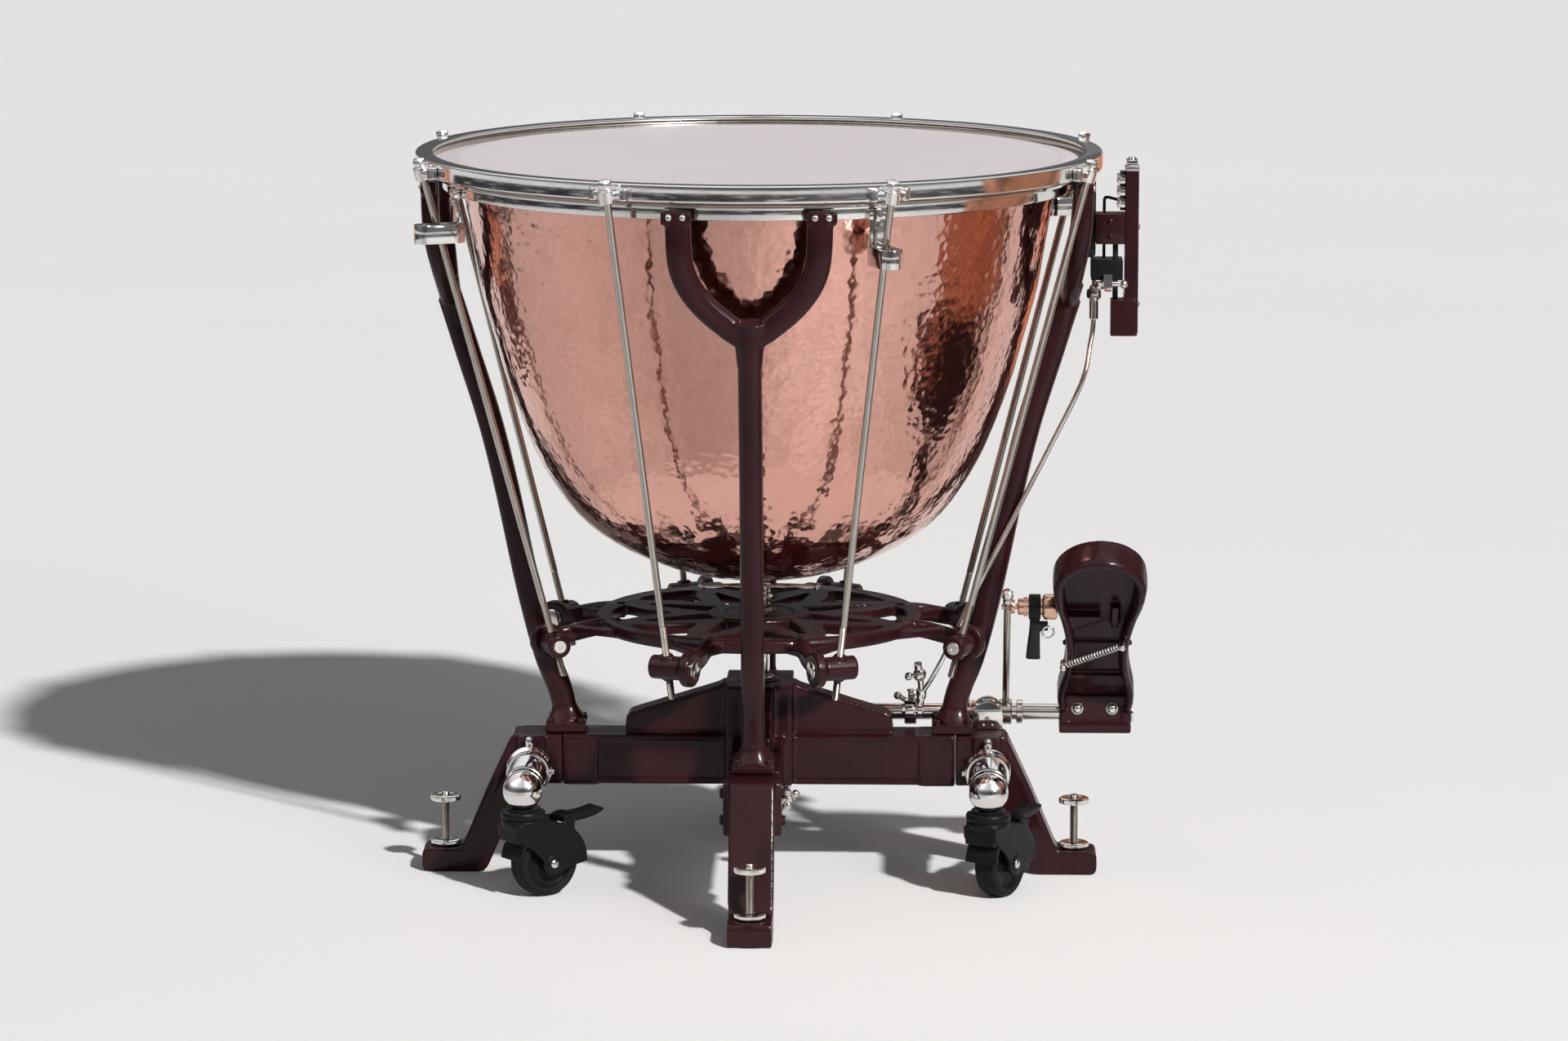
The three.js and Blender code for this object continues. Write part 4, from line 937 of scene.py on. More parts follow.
# ------------------------------------------------------------------ casters
for name, x, y, d_, stem in (("left", -252, -145, 38, 99.6), ("right", 252, -145, 60, 99.6), ("rear", 0, 240, 80, 99.6)):
    a = rad(d_)
    T = mat4((math.cos(a), math.sin(a), 0), (-math.sin(a), math.cos(a), 0), (0, 0, 1), (x, y, 0))
    S = T @ mat4((1, 0, 0), (0, 0, 1), (0, -1, 0))  # local x trails, y up, z runs across (-Y)

    def slab(outline, y0, y1, S=S):
        return prism(outline, -y1, -y0, S)

    def ringcut(r):
        return arcpts(27, 37.5, r, 0, 330, 22)

    hood = []
    # cheeks each side of the wheel and the crown that joins them
    cheek = arcpts(27, 37.5, 13.5, -62, -196, 9) + [(2, 54), (-9, 62), (-19, 71), (-20.5, 84), (22, 84), (44, 80), (56, 68)] + arcpts(27, 37.5, 42.5, 38, -4, 8)[0:] + [(52, 32)]
    for s0, s1 in ((-20, -15.6), (15.6, 20)):
        hood.append(slab(cheek, s0, s1))
    crown = arcpts(27, 37.5, 44.6, -4, 172, 20) + arcpts(27, 37.5, 40.6, 172, -4, 20)
    hood.append(slab(crown, -19.4, 19.4))
    hood.append(slab([(-20, 64), (-8, 62), (4, 73), (22, 77.5), (24, 84), (-20, 84)], -18, 18))
    hood += [cyl(xf(T, (27, -21.2, 37.5)), xf(T, (27, -15.6, 37.5)), 9.4, 9.4, 32, 1.0), cyl(xf(T, (27, 15.6, 37.5)), xf(T, (27, 21.2, 37.5)), 9.4, 9.4, 32, 1.0),
             lathe([(0, 80), (19, 80), (23.4, 82), (24, 84.5), (24, 88), (0, 88)], 64, T),
             slab([(40, 68), (54, 60), (56, 84), (41, 84)], -19, -15.2), slab([(40, 68), (54, 60), (56, 84), (41, 84)], 15.2, 19)]
    build("caster_hood_" + name, hood, BLACK, "caster_" + name, "caster_yoke_" + name, voxel=0.95, relax=4)
    build("caster_collar_" + name, [lathe([(0, 87.8), (22.4, 87.8), (22.4, 89.6), (24.2, 90.2), (24.4, 91.2), (24.4, 95.2), (23.6, 96.6), (20.5, 97.8), (17.6, 98.1), (18.4, 98.4), (18.4, 100.6), (0, 100.6)], 72, T)], BLACK, "caster_" + name)
    build("caster_stem_" + name, [lathe([(0, 97), (5.4, 97), (5.4, 112 if name != "rear" else 124), (0, 112 if name != "rear" else 124)], 32, T)]
          + [dome(xf(T, (27, s * 21.0, 37.5)), xf(T, (27, s, 37.5)) - xf(T, (27, 0, 37.5)), 5.0, 2.2) for s in (-1, 1)], NICKEL, "caster_" + name)
    W = T @ mat4((0, 0, 1), (1, 0, 0), (0, 1, 0), (27, 0, 37.5))
    tyre = [(28.6, -12.4), (31, -13), (33.6, -12.8), (35.8, -11.4), (37.1, -8.8), (37.5, -5.2), (37.5, -1.4), (37.2, -0.9), (37.2, 0.9), (37.5, 1.4), (37.5, 5.2), (37.1, 8.8), (35.8, 11.4), (33.6, 12.8), (31, 13), (28.6, 12.4), (28.2, 11), (28.2, -11), (28.6, -12.4)]
    build("tyre_" + name, lathe(tyre, 96, W), TYRE, "wheel_" + name, "caster_wheel_" + name, angle=50)
    rim = [(5.0, -13.6), (9.5, -13.6), (10.4, -12.9), (10.8, -9.0), (24.6, -8.0), (26.4, -8.6), (27.2, -11.6), (28.3, -12.0), (28.5, -11), (28.5, 11), (28.3, 12.0), (27.2, 11.6), (26.4, 8.6), (24.6, 8.0), (10.8, 9.0), (10.4, 12.9), (9.5, 13.6), (5.0, 13.6), (5.0, -13.6)]
    spk = [lathe(rim, 96, W)]
    for j in range(6):
        b = rad(60 * j + 12)
        e = np.array((math.cos(b), math.sin(b), 0))
        f = np.array((-math.sin(b), math.cos(b), 0))
        M = W @ mat4(e, f, (0, 0, 1))
        for s in (-1, 1):
            spk.append(box(10, -1.2, min(s * 7.0, s * 8.9), 27, 1.2, max(s * 7.0, s * 8.9), M))
    build("wheel_rim_" + name, spk, BLACK, "wheel_" + name, bevel=0.4)
    lev = [slab([(44.5, 82), (46, 79), (60, 78.8), (76, 80), (88, 82.2), (97.5, 85.6), (99, 88.4), (96, 90.2), (88, 89.2), (78, 87.4), (66, 87.0), (58, 88.2), (50, 87.4), (45.5, 85.4)], -11.5, 11.5),
           slab([(44.5, 82), (46, 79), (58, 78.8), (62, 87.0), (58, 88.2), (50, 87.4), (45.5, 85.4)], -14, 14)]
    for j in range(5):
        xx = 76 + 4.0 * j
        zz = 86.9 + 0.72 * j
        lev.append(slab([(xx, zz - 2), (xx + 1.9, zz - 1.6), (xx + 1.9, zz + 1.2), (xx, zz + 0.9)], -10.2, 10.2))
    build("brake_pedal_" + name, lev, BLACK, "brake_" + name, "brake_lever_" + name, bevel=0.7)

# ------------------------------------------------------------------ pedal
C50, S50 = math.cos(rad(50)), math.sin(rad(50))
PED = mat4((1, 0, 0), (0, -C50, S50), (0, -S50, -C50), (0, 35, 172))
PX = 371


def ped(x, u, m_):
    return xf(PED, (x, u, m_))


side = [(38.5, 12), (41.5, 24), (42.3, 38), (40.6, 54), (37.4, 72), (35.2, 92), (34.6, 112), (35.8, 134), (39.2, 156), (43.6, 178), (47.6, 200)]
toe = [(x, u) for x, u in arcpts(0, 231, 50.2, -30, 210, 26)]
outer = [(PX + x, u) for x, u in side] + [(PX + x, u) for x, u in toe[3:-3]] + [(PX - x, u) for x, u in side[::-1]]
P3 = catmull([(x, u, 0) for x, u in outer], 2)
plate_ = prism([(p[0], p[1]) for p in P3], -12.2, -5.2, PED)
# the rim stands up round the plate: low at the waist, deep round the toe
inner = []
Pc = np.array([(PX, 130, 0)])
pth, upv = [], []
for p in P3:
    tow = np.array((PX, min(max(p[1], 60), 228), 0)) - p
    tow[2] = 0
    dn = np.linalg.norm(tow)
    w = 5.2
    q = p + tow / dn * w
    pth.append(q)
hgt = [0.5 * (12 + 12.6 + 9.6 * min(1, max(0, (q[1] - 172) / 42)) - 2.5 * math.exp(-((q[1] - 60) / 26) ** 2)) for q in pth]
pts = [ped(q[0], q[1], -12.2 + h) for q, h in zip(pth, hgt)]
wid = [4.4 + 1.5 * min(1, max(0, (q[1] - 190) / 40)) for q in pth]
rim = sweep(pts, soft_sec(1, 1, 3.4, 24), up=tuple(PED[:3, 2]), scale=[(w, h) for w, h in zip(wid, hgt)])
pedal = [plate_, rim]
# cross ribs and the strap lug inside the pocket
for u in (62, 118):
    pedal.append(box(PX - 38, u - 2.2, -6, PX + 38, u + 2.2, 0.5 if u == 62 else -1.0, PED))
pedal.append(prism([(PX - 30, 150), (PX + 2, 168), (PX + 2, 172), (PX - 32, 172)], -6, 5.5, PED))
pedal.append(box(PX + 14, 150, -6, PX + 22, 186, 4.0, PED))
# tread bars on the face the foot rests on
for j in range(9):
    u = 60 + 21 * j
    w = 27 if u < 170 else 27 + 9 * math.sin(min(1, (u - 170) / 60) * math.pi / 2)
    pedal.append(box(PX - w, u - 2.4, -14.4, PX + w, u + 2.4, -11.5, PED))
build("pedal_plate_casting", pedal, WINE, "pedal", "foot_pedal", voxel=1.15, relax=5)
heel = [box(PX - 38.5, 20, 154.5, PX + 38.5, 54, 194), box(PX - 39.6, 13.5, 152.0, PX + 39.6, 54, 163), box(PX - 38.5, 40, 154.5, PX + 38.5, 54, 199),
        cyl((PX - 39.5, 35, 172), (PX - 30, 35, 172), 17.5, 17.5, 48), cyl((PX + 30, 35, 172), (PX + 39.5, 35, 172), 17.5, 17.5, 48)]
build("pedal_heel_casting", heel, WINE, "pedal", "pedal_heel_block", voxel=1.15, relax=5, cutters=(cyl((PX - 60, 35, 172), (PX + 60, 35, 172), 9.5, 9.5, 48),))
hb = []
for xx in (351.3, 389.7):
    hb += [cyl((xx, 20.6, 179), (xx, 18.6, 179), 6.6, 6.6, 32, 0.4), dome((xx, 18.8, 179), (0, -1, 0), 5.6, 3.6)]
hb += [cyl((410.2, 35, 172), (413.6, 35, 172), 11.5, 11.5, 32, 0.7)]
build("heel_bolts", hb, CHROME, "pedal")
sh = [turned((8.5, 35, 172), (413, 35, 172), [(0, 0), (8.2, 0), (9, 0.8), (9, 226), (8.7, 226.4), (8.7, 227.4), (9, 227.8), (9, 403.6), (8.2, 404.5), (0, 404.5)], 48),
      cyl((6.2, 35, 172), (20, 35, 172), 18.5, 18.5, 64, 0.9), cyl((-12.8, 23, 172), (8, 23, 172), 4.95, 4.95, 32, 0.5),
      lathe([(9.1, 0), (13.4, 0), (14.0, 0.6), (14.0, 8.4), (13.4, 9), (9.1, 9), (9.1, 0)], 48, mat4((0, 1, 0), (0, 0, 1), (1, 0, 0), (224, 35, 172))),
      lathe([(9.1, 0), (12.6, 0), (13.2, 0.6), (13.2, 6.4), (12.6, 7), (9.1, 7), (9.1, 0)], 48, mat4((0, 1, 0), (0, 0, 1), (1, 0, 0), (284, 35, 172)))]
build("pedal_cross_shaft", sh, NICKEL, "pedal", "pedal_shaft")
# bearing on the right leg: a domed pillow block on its foot
dm = [(235.6, 157.2)] + [(252.2 - 16.6 * math.cos(rad(t)), 171.0 + 16.6 * math.sin(rad(t)) * 0.95) for t in range(0, 181, 12)] + [(268.8, 157.2)]
F_XZ = mat4((1, 0, 0), (0, 0, 1), (0, -1, 0))
pb = [prism([(x_, z_) for x_, z_ in dm], -17.0, -11.6, F_XZ)]
pb += [prism([(x_, z_) for x_, z_ in dm], -50, -44, F_XZ), prism([(240, 156.9), (264.6, 156.9), (264.6, 176.5), (258, 184.6), (246.6, 184.6), (240, 176.5)], -46, -15, F_XZ)]
build("shaft_pillow", pb, CHROME, "root", "shaft_bearing", bevel=0.9, cutters=(cyl((225, 35, 172), (280, 35, 172), 9.6, 9.6, 48),))
build("pillow_bushes", [lathe([(9.7, 0), (12.4, 0), (12.4, 5.0), (9.7, 5.0), (9.7, 0)], 48, mat4((0, 1, 0), (0, 0, 1), (1, 0, 0), (234.0, 35, 172))),
                        lathe([(9.7, 0), (12.4, 0), (12.4, 4.0), (9.7, 4.0), (9.7, 0)], 48, mat4((0, 1, 0), (0, 0, 1), (1, 0, 0), (265.8, 35, 172)))]
      + [dome((x_, 11.8, 160.8), (0, -1, 0), 2.0, 1.2) for x_ in (247.5, 257)], BRONZE, "root")
# gauge crank on the shaft
PIN_Y, PIN_Z = 35 - 42 * math.cos(rad(12.5)), 172 + 42 * math.sin(rad(12.5))
gc = [lathe([(9.4, 0), (13.4, 0), (14.5, 1.1), (14.5, 12.9), (13.4, 14), (9.4, 14), (9.4, 0)], 48, mat4((0, 1, 0), (0, 0, 1), (1, 0, 0), (160, 35, 172))),
      sweep(catmull([(167, 24, 174.4), (167, 10, 177.5), (167, PIN_Y, PIN_Z)], 6), soft_sec(4.2, 5.4, 2.8, 20), up=(0, 0, 1)),
      cyl((161, PIN_Y, PIN_Z), (171.4, PIN_Y, PIN_Z), 6.6, 6.6, 32, 0.8), cyl((171.4, PIN_Y, PIN_Z), (181.6, PIN_Y, PIN_Z), 2.6, 2.6, 20, 0.3)]
gc += hexhead((161.2, PIN_Y, PIN_Z), (-1, 0, 0), 7.5, 4.0) + [cyl((167, 35, 186), (167, 35, 196), 3.2, 3.2, 20, 0.4), dome((167, 35, 195.6), (0, 0, 1), 4.4, 2.2)]
gc += [sphere((152.5, 33, 190), 4.6), cyl((153, 33, 190), (162, 35, 184), 3.0, 3.0, 20), sphere((171, 33, 187), 5.6), cyl((169, 35, 181), (171, 33, 187), 4.0, 4.0, 20)]
build("gauge_crank_arm", gc, CHROME, "pedal", "gauge_crank")

# clutch rod, barrel, release lever, return spring
cr = [lathe([(9.4, 0), (13.0, 0), (14, 1.0), (14, 13.0), (13.0, 14), (9.4, 14), (9.4, 0)], 48, mat4((0, 1, 0), (0, 0, 1), (1, 0, 0), (265, 35, 172))),
      cyl(ped(272, 12, 0), ped(272, 190, 0), 3.9, 3.9, 28)]
build("clutch_side_rod", cr, STEEL, "pedal", "clutch_rod")
build("clutch_rod_tip", [cyl(ped(272, 189, 0), ped(272, 198.5, 0), 5.2, 5.2, 28, 0.5), cyl(ped(272, 198.5, 0), ped(272, 207.5, 0), 6.2, 6.2, 32, 1.2), dome(ped(272, 207.2, 0), ped(0, 1, 0) - ped(0, 0, 0), 5.4, 2.0)],
      CHROME, "pedal")
cb = [cyl(ped(265.5, 183, 0), ped(290, 183, 0), 3.0, 3.0, 24), cyl(ped(276, 183, 0), ped(280, 183, 0), 7.6, 7.6, 40, 0.7),
      turned(ped(283, 183, 0), ped(326.8, 183, 0), [(0, 0), (7.0, 0), (9.0, 1.2), (9.0, 26.5), (12.6, 27.6), (13.9, 29.2), (14.0, 40.5), (13.0, 42.4), (10, 43.2), (0, 43.4)], 56)]
for j in range(8):
    b = rad(45 * j)
    cb.append(cyl(ped(289.5 + 0, 183 + 9.2 * math.cos(b), 9.2 * math.sin(b)), ped(294, 183 + 9.2 * math.cos(b), 9.2 * math.sin(b)), 1.4, 1.4, 12))
build("clutch_drum", cb, BRONZE, "pedal", "clutch_barrel")
cy, cz = ped(0, 183, 0)[1:]
cl = [lathe([(9.8, 0), (13.2, 0), (14, 0.8), (14, 12.2), (13.2, 13), (9.8, 13), (9.8, 0)], 56, mat4((0, 1, 0), (0, 0, 1), (1, 0, 0), (295, cy, cz))),
      sweep(catmull([(301.5, cy, cz - 11), (301.5, cy - 1, cz - 26), (300.5, cy - 1.5, cz - 42), (300, cy - 1, cz - 57)], 6), soft_sec(1, 1, 3.0, 24), up=(0, 1, 0),
            scale=[(5.0 + 3.0 * i / 18, 4.2 + 0.8 * i / 18) for i in range(19)]),
      box(303.5, cy - 3.5, cz - 26, 316, cy + 3.5, cz - 16)]
build("clutch_handle", cl, SATIN_BLACK, "clutch_lever", "clutch_lever", voxel=0.8, relax=3)
tor = [(6.2 + 1.25 * math.cos(rad(a)), 1.25 * math.sin(rad(a))) for a in range(0, 360, 30)]
build("clutch_eye", [lathe(tor + [tor[0]], 36, mat4((1, 0, 0), (0, 0, 1), (0, -1, 0), (316, cy - 5.6, cz - 27)))], CHROME, "clutch_lever")
a_, b_ = ped(337, 106.5, 18.6), ped(394, 138.5, 18.6)
M_, L_ = frame_of(a_, b_)
turns, npt = 19, 19 * 14
hx = [xf(M_, (3.6 * math.cos(2 * math.pi * i / 14), 3.6 * math.sin(2 * math.pi * i / 14), L_ * i / npt)) for i in range(npt + 1)]
spring = [sweep(hx, round_sec(0.85, 8), up=lambda i: tuple(M_[:3, 2] + 0.01))]
for (q0, q1) in ((ped(333.5, 104.6, 12), ped(333.5, 104.6, 22)), (ped(397, 140.2, 12), ped(397, 140.2, 22))):
    spring.append(cyl(q0, q1, 3.0, 3.0, 24, 0.4))
    spring.append(sphere(q1, 3.9, 20, 12))
spring.append(cyl(ped(333.5, 104.6, 18.6), a_, 1.1, 1.1, 12))
spring.append(cyl(b_, ped(397, 140.2, 18.6), 1.1, 1.1, 12))
build("return_spring", spring, CHROME, "pedal", "clutch_spring", angle=60)

# ------------------------------------------------------------------ gauge
gb = [fin([(345, 768.6), (346, 773.9), (362.5, 773.9), (366, 770), (366.3, 756), (366.3, 688), (364, 684.4), (358, 684.6), (352, 698), (348.6, 716)], 90, -5.6, 5.6),
      box(345.2, -22, 768.4, 360, 22, 773.9)]
build("gauge_bracket_plate", gb, SATIN_BLACK, "root", "gauge_bracket", bevel=0.8)
build("gauge_arm_block", [box(366.5, -14, 700, 397.8, 14, 733)] + [dome((382, -13.8, z_), (0, -1, 0), 3.4, 2.0) for z_ in (708.5, 724.5)], WINE, "root", "gauge_arm", bevel=1.4)
gr = [box(398.1, -8, 602, 412.8, 20, 780), box(383, -12, 599, 410, 12, 639), box(397.5, -5, 598.5, 412.6, 19, 645), cyl((405.4, 6, 598.6), (405.4, 6, 606), 7.0, 7.2, 32)]
build("gauge_rail_casting", gr, WINE, "root", "gauge_rail", voxel=0.95, relax=4)
gt = [box(397.8, -8.4, 779.6, 413.1, 20.4, 783.2), box(399.6, -6.6, 783, 411.4, 18.6, 790.4), cyl((405.5, 6, 790), (405.5, 6, 793.4), 4.6, 4.2, 28, 0.5)]
gt += [dome((412.6, 6, z_), (1, 0, 0), 3.6, 2.6) for z_ in (717, 632)]
for z_ in (744, 757, 770):
    gt += [box(389.5, -5.2, z_ - 4.6, 398.4, 15.6, z_ + 4.6), cyl((391.8, -7.4, z_), (391.8, -4.6, z_), 3.0, 3.0, 20, 0.4)]
build("gauge_cap_and_markers", gt, CHROME, "root", bevel=0.5)
gk = [box(392.6, -3.4, 736, 398.2, 13.5, 778), cyl((388, 0, 639), (388, 0, 699.8), 3.0, 3.0, 24)]
build("gauge_scale_backing", gk, SATIN_BLACK, "root", bevel=0.4)
gp = [box(361.4, -12, 660.4, 396, 23, 682.6)]
build("pointer_carriage", gp, BLACK, "gauge_pointer", "gauge_pointer", bevel=1.2, cutters=(cyl((388, 0, 655), (388, 0, 690), 3.7, 3.7, 32),))
hk = catmull([(376, 18, 681), (376, 18, 712), (376, 18, 740), (376.4, 18, 746), (379.5, 18, 748), (392.5, 18, 744.6)], 6)
build("pointer_wire", [sweep(hk, round_sec(1.7, 14), up=(0, 1, 0.02))], SATIN_BLACK, "gauge_pointer")
kb = [sphere((365, 0, 650), 5.1, 28, 16), cyl((365, 0, 652), (365, 0, 660.8), 2.4, 2.4, 20), cyl((367, -8, 655.6), (381.5, -8, 655.6), 3.2, 3.2, 24, 0.5), cyl((376.8, -8, 655), (376.8, -8, 661), 5.0, 5.0, 28, 0.5),
      sphere((370, -16.8, 655.4), 4.8, 24, 14), box(375, -22, 654, 384, -13.6, 668), box(375, -14, 661.6, 384, -11.9, 668), cyl((368, -18, 657.4), (397, -18, 657.4), 3.0, 3.0, 24, 0.5), sphere((397, -18.6, 656.8), 4.6, 24, 14)]
kb += hexhead((379.5, -18, 654.2), (0, 0, -1), 8.0, 5.0)
kb += hexhead((376.8, -8, 655.5), (0, 0, -1), 8.5, 5.0)
build("pointer_joints", kb, CHROME, "gauge_pointer")
link = [(365, 0, 636), (364.6, -1, 612), (361.4, -6, 590), (352, -20, 549), (316, -20.6, 474), (279, -21, 400), (240, -20.6, 322), (206, -20, 250), (190, -15.5, 219), (180, -8.4, 201), (177.6, PIN_Y, PIN_Z + 6)]
lk = [sweep(catmull(link, 8), round_sec(2.75, 18), up=(0.05, 1, 0)),
      turned((365, 0, 616), (365, 0, 649.6), [(0, 0), (3.2, 0), (5.0, 1.2), (5.0, 21), (6.4, 22.4), (8.0, 24.4), (8.2, 29), (7.4, 33.2), (5.9, 33.6), (0, 27)], 36),
      lathe([(4.1, 0), (6.2, 0), (6.6, 0.5), (6.6, 4.9), (6.2, 5.4), (4.1, 5.4), (4.1, 0)], 40, mat4((0, 1, 0), (0, 0, 1), (1, 0, 0), (174.6, PIN_Y, PIN_Z))),
      cyl((177.4, PIN_Y + 0.3, PIN_Z + 5), (178.6, PIN_Y - 0.6, PIN_Z + 17), 4.0, 4.2, 24, 0.6)]
JX, JY = 178.8, PIN_Y - 0.5
lk += [cyl((JX, JY, PIN_Z + 14), (JX, JY - 0.6, PIN_Z + 25), 5.4, 6.0, 32, 0.8), sphere((JX - 2, JY - 2.5, PIN_Z + 41), 7.6, 28, 16), cyl((JX, JY - 1, PIN_Z + 24), (JX - 1, JY - 2, PIN_Z + 36), 3.6, 3.6, 24),
       cyl((JX - 3, JY - 3, PIN_Z + 46), (JX - 4, JY - 3.4, PIN_Z + 55), 4.6, 4.2, 28, 0.8), sphere((JX - 14, JY - 3, PIN_Z + 39), 4.6, 24, 14), cyl((JX - 12, JY - 3, PIN_Z + 39.4), (JX - 4, JY - 2.6, PIN_Z + 40.6), 2.6, 2.6, 20)]
build("gauge_link_rod", lk, CHROME, "gauge_link", "gauge_link")

# ------------------------------------------------------------------ rod guides
for i, az in enumerate((22.5, 112.5, -157.5, -67.5)):
    P = polar(az)
    c = rod_r(725)
    st_o = arcpts(c + 15.5, 0, 12.5, -90, 90, 14) + arcpts(c - 15.5, 0, 12.5, 90, 270, 14)
    st_i = arcpts(c + 15.5, 0, 9.5, -90, 90, 14) + arcpts(c - 15.5, 0, 9.5, 90, 270, 14)
    n_ = len(st_o)
    V = np.array([(x_, y_, z_) for z_ in (715, 735) for ring in (st_o, st_i) for x_, y_ in ring])
    F = []
    for j in range(n_):
        k = (j + 1) % n_
        o0, o1, i0, i1 = j, k, n_ + j, n_ + k
        F += [[o0, o1, o1 + 2 * n_, o0 + 2 * n_], [i1, i0, i0 + 2 * n_, i1 + 2 * n_], [o1, o0, i0, i1], [o0 + 2 * n_, o1 + 2 * n_, i1 + 2 * n_, i0 + 2 * n_]]
    V = xf(P, V)
    g = [(V, F), box(344.9, -9.5, 716.5, 348.6, 9.5, 764.4, P), box(340.2, -9.0, 718.2, 350.6, 9.0, 734, P),
         cyl(at(az, 348.4, 0, 757), at(az, 350.8, 0, 757), 4.4, 4.4, 28, 0.4)]
    build("guide_strap_%d" % (i + 1), g, CHROME, "root", "rod_guide_%d" % (i + 1), bevel=0.55)
    build("guide_clip_%d" % (i + 1), [box(344.9, -11.5, 763, 351.4, 11.5, 774.2, P), cyl(at(az, 351.2, 0, 768.5), at(az, 353.0, 0, 768.5), 3.4, 3.4, 24, 0.4)], CHROME, "root", bevel=0.7)
    build("guide_pad_%d" % (i + 1), [lathe([(4.3, 0), (7.0, 0), (7.0, 14), (4.3, 14), (4.3, 0)], 32, mat4(*[tuple(col) for col in P[:3, :3].T], at(az, c, 0, 718)))], FELT, "root")

# thumb screw that clamps the leg casting under the hub
th = [cyl((33, -57, 101.5), (33, -57, 86), 3.4, 3.4, 20), cyl((33, -57, 95), (33, -57, 90), 8.0, 8.0, 32, 0.6), cyl((26, -57, 90), (42, -57, 98), 3.2, 3.2, 20, 0.8), sphere((26.5, -57, 90.2), 4.2), sphere((41.6, -57, 97.8), 4.2),
      sphere((33, -57, 84.6), 4.4)]
build("hub_thumb_screw", th, NICKEL, "root")

# ------------------------------------------------------------------ floor, and painted reflections of the surroundings
def stage_floor():
    m = Mat("studio_floor").set(Metallic=0.0, Specular_IOR_Level=0.0)
    f = m.noise(0.8, 3)
    fine = m.noise(90, 3)
    base = m.ramp(f, [(0.3, (0.747, 0.747, 0.747)), (0.7, (0.755, 0.755, 0.757))])
    m.out(Base_Color=base, Roughness=m.maprange(fine, 0.3, 0.7, 0.55, 0.65))
    me = bpy.data.meshes.new("floor")
    s = 45.0
    me.from_pydata([(-s, -s, 0), (s, -s, 0), (s, s, 0), (-s, s, 0)], [], [(0, 1, 2, 3)])
    me.materials.append(m.m)
    o = bpy.data.objects.new("floor", me)
    COL.objects.link(o)


stage_floor()

def painted_reflection_drum(name, cx, cy, k, upper, lower, seed):
    """A painted reflection of the rest of the set: a glowing bowl and dark stand of the same shape, enlarged k times.
    Only mirrored by metal; not seen by the camera, casts no shadow and lights no diffuse surface."""
    # emission makes this glow though it is no lamp: a painted reflection of the neighbouring drums
    m = Mat(name).set(Metallic=0.0, Specular_IOR_Level=0.2, Emission_Strength=0.34)
    geo = m.n.new("ShaderNodeSeparateXYZ")
    m.link(m.co.outputs["Object"], geo.inputs[0])
    z = geo.outputs["Z"]
    v = m.mapped((9, 9, 1.6), (seed, 0, 0))
    reflection_streaks = m.noise(1.0, 3, 0.6, v, 0.6)
    blot = m.noise(7.0, 4, 0.6)
    # painted reflection streaks: darker bands, then painted highlight stripes across the bowl colour
    hi = m.mix(m.maprange(reflection_streaks, 0.40, 0.52, 0.0, 1.0), tuple(c * 0.45 for c in upper), upper)
    hi = m.mix(m.maprange(reflection_streaks, 0.62, 0.70, 0.0, 0.8), hi, (0.90, 0.72, 0.60))
    # lower part: the stand's dark colour with brown blots of painted reflection
    lo = m.mix(m.maprange(blot, 0.55, 0.66, 0.0, 1.0), lower, (0.36, 0.17, 0.11))
    zz = m.math("ADD", z, m.math("MULTIPLY", blot, 0.10))
    col = m.mix(m.maprange(zz, 0.32, 0.44, 0.0, 1.0), lo, hi)
    # top band: painted reflection of the neighbour's head, grey
    col = m.mix(m.maprange(z, 0.79, 0.82, 0.0, 1.0), col, (0.16, 0.165, 0.185))
    m.out(Base_Color=col, Emission_Color=col, Roughness=m.maprange(blot, 0.3, 0.7, 0.7, 0.9))
    rr = np.random.default_rng(seed)
    prof = [(60, 60), (320, 40), (330, 90), (262, 150), (250, 230), (255, 330), (262, 400), (272, 470), (292, 560), (314, 660), (330, 760), (352, 800), (352, 830), (0, 836)]
    V, F = lathe([(0, 60)] + prof, 72)
    ang = np.arctan2(V[:, 1], V[:, 0])
    wob = 1 + 0.035 * np.sin(ang * 7 + rr.uniform(0, 6)) + 0.02 * np.sin(ang * 17 + rr.uniform(0, 6))
    V = V * 0.001 * k
    V[:, 0] = V[:, 0] * wob + cx
    V[:, 1] = V[:, 1] * wob + cy
    me = bpy.data.meshes.new(name)
    me.from_pydata(V.tolist(), [], F)
    me.shade_smooth()
    me.materials.append(m.m)
    o = bpy.data.objects.new(name, me)
    COL.objects.link(o)
    o.visible_camera = o.visible_shadow = o.visible_diffuse = o.visible_transmission = o.visible_volume_scatter = False


painted_reflection_drum("painted_reflection_right", 1.20, -0.06, 1.24, (0.52, 0.23, 0.14), (0.020, 0.010, 0.011), 3)
painted_reflection_drum("painted_reflection_back", 0.62, 1.25, 1.10, (0.50, 0.20, 0.12), (0.025, 0.012, 0.012), 5)
painted_reflection_drum("painted_reflection_left", -1.62, 1.00, 0.92, (0.36, 0.17, 0.12), (0.030, 0.016, 0.016), 8)


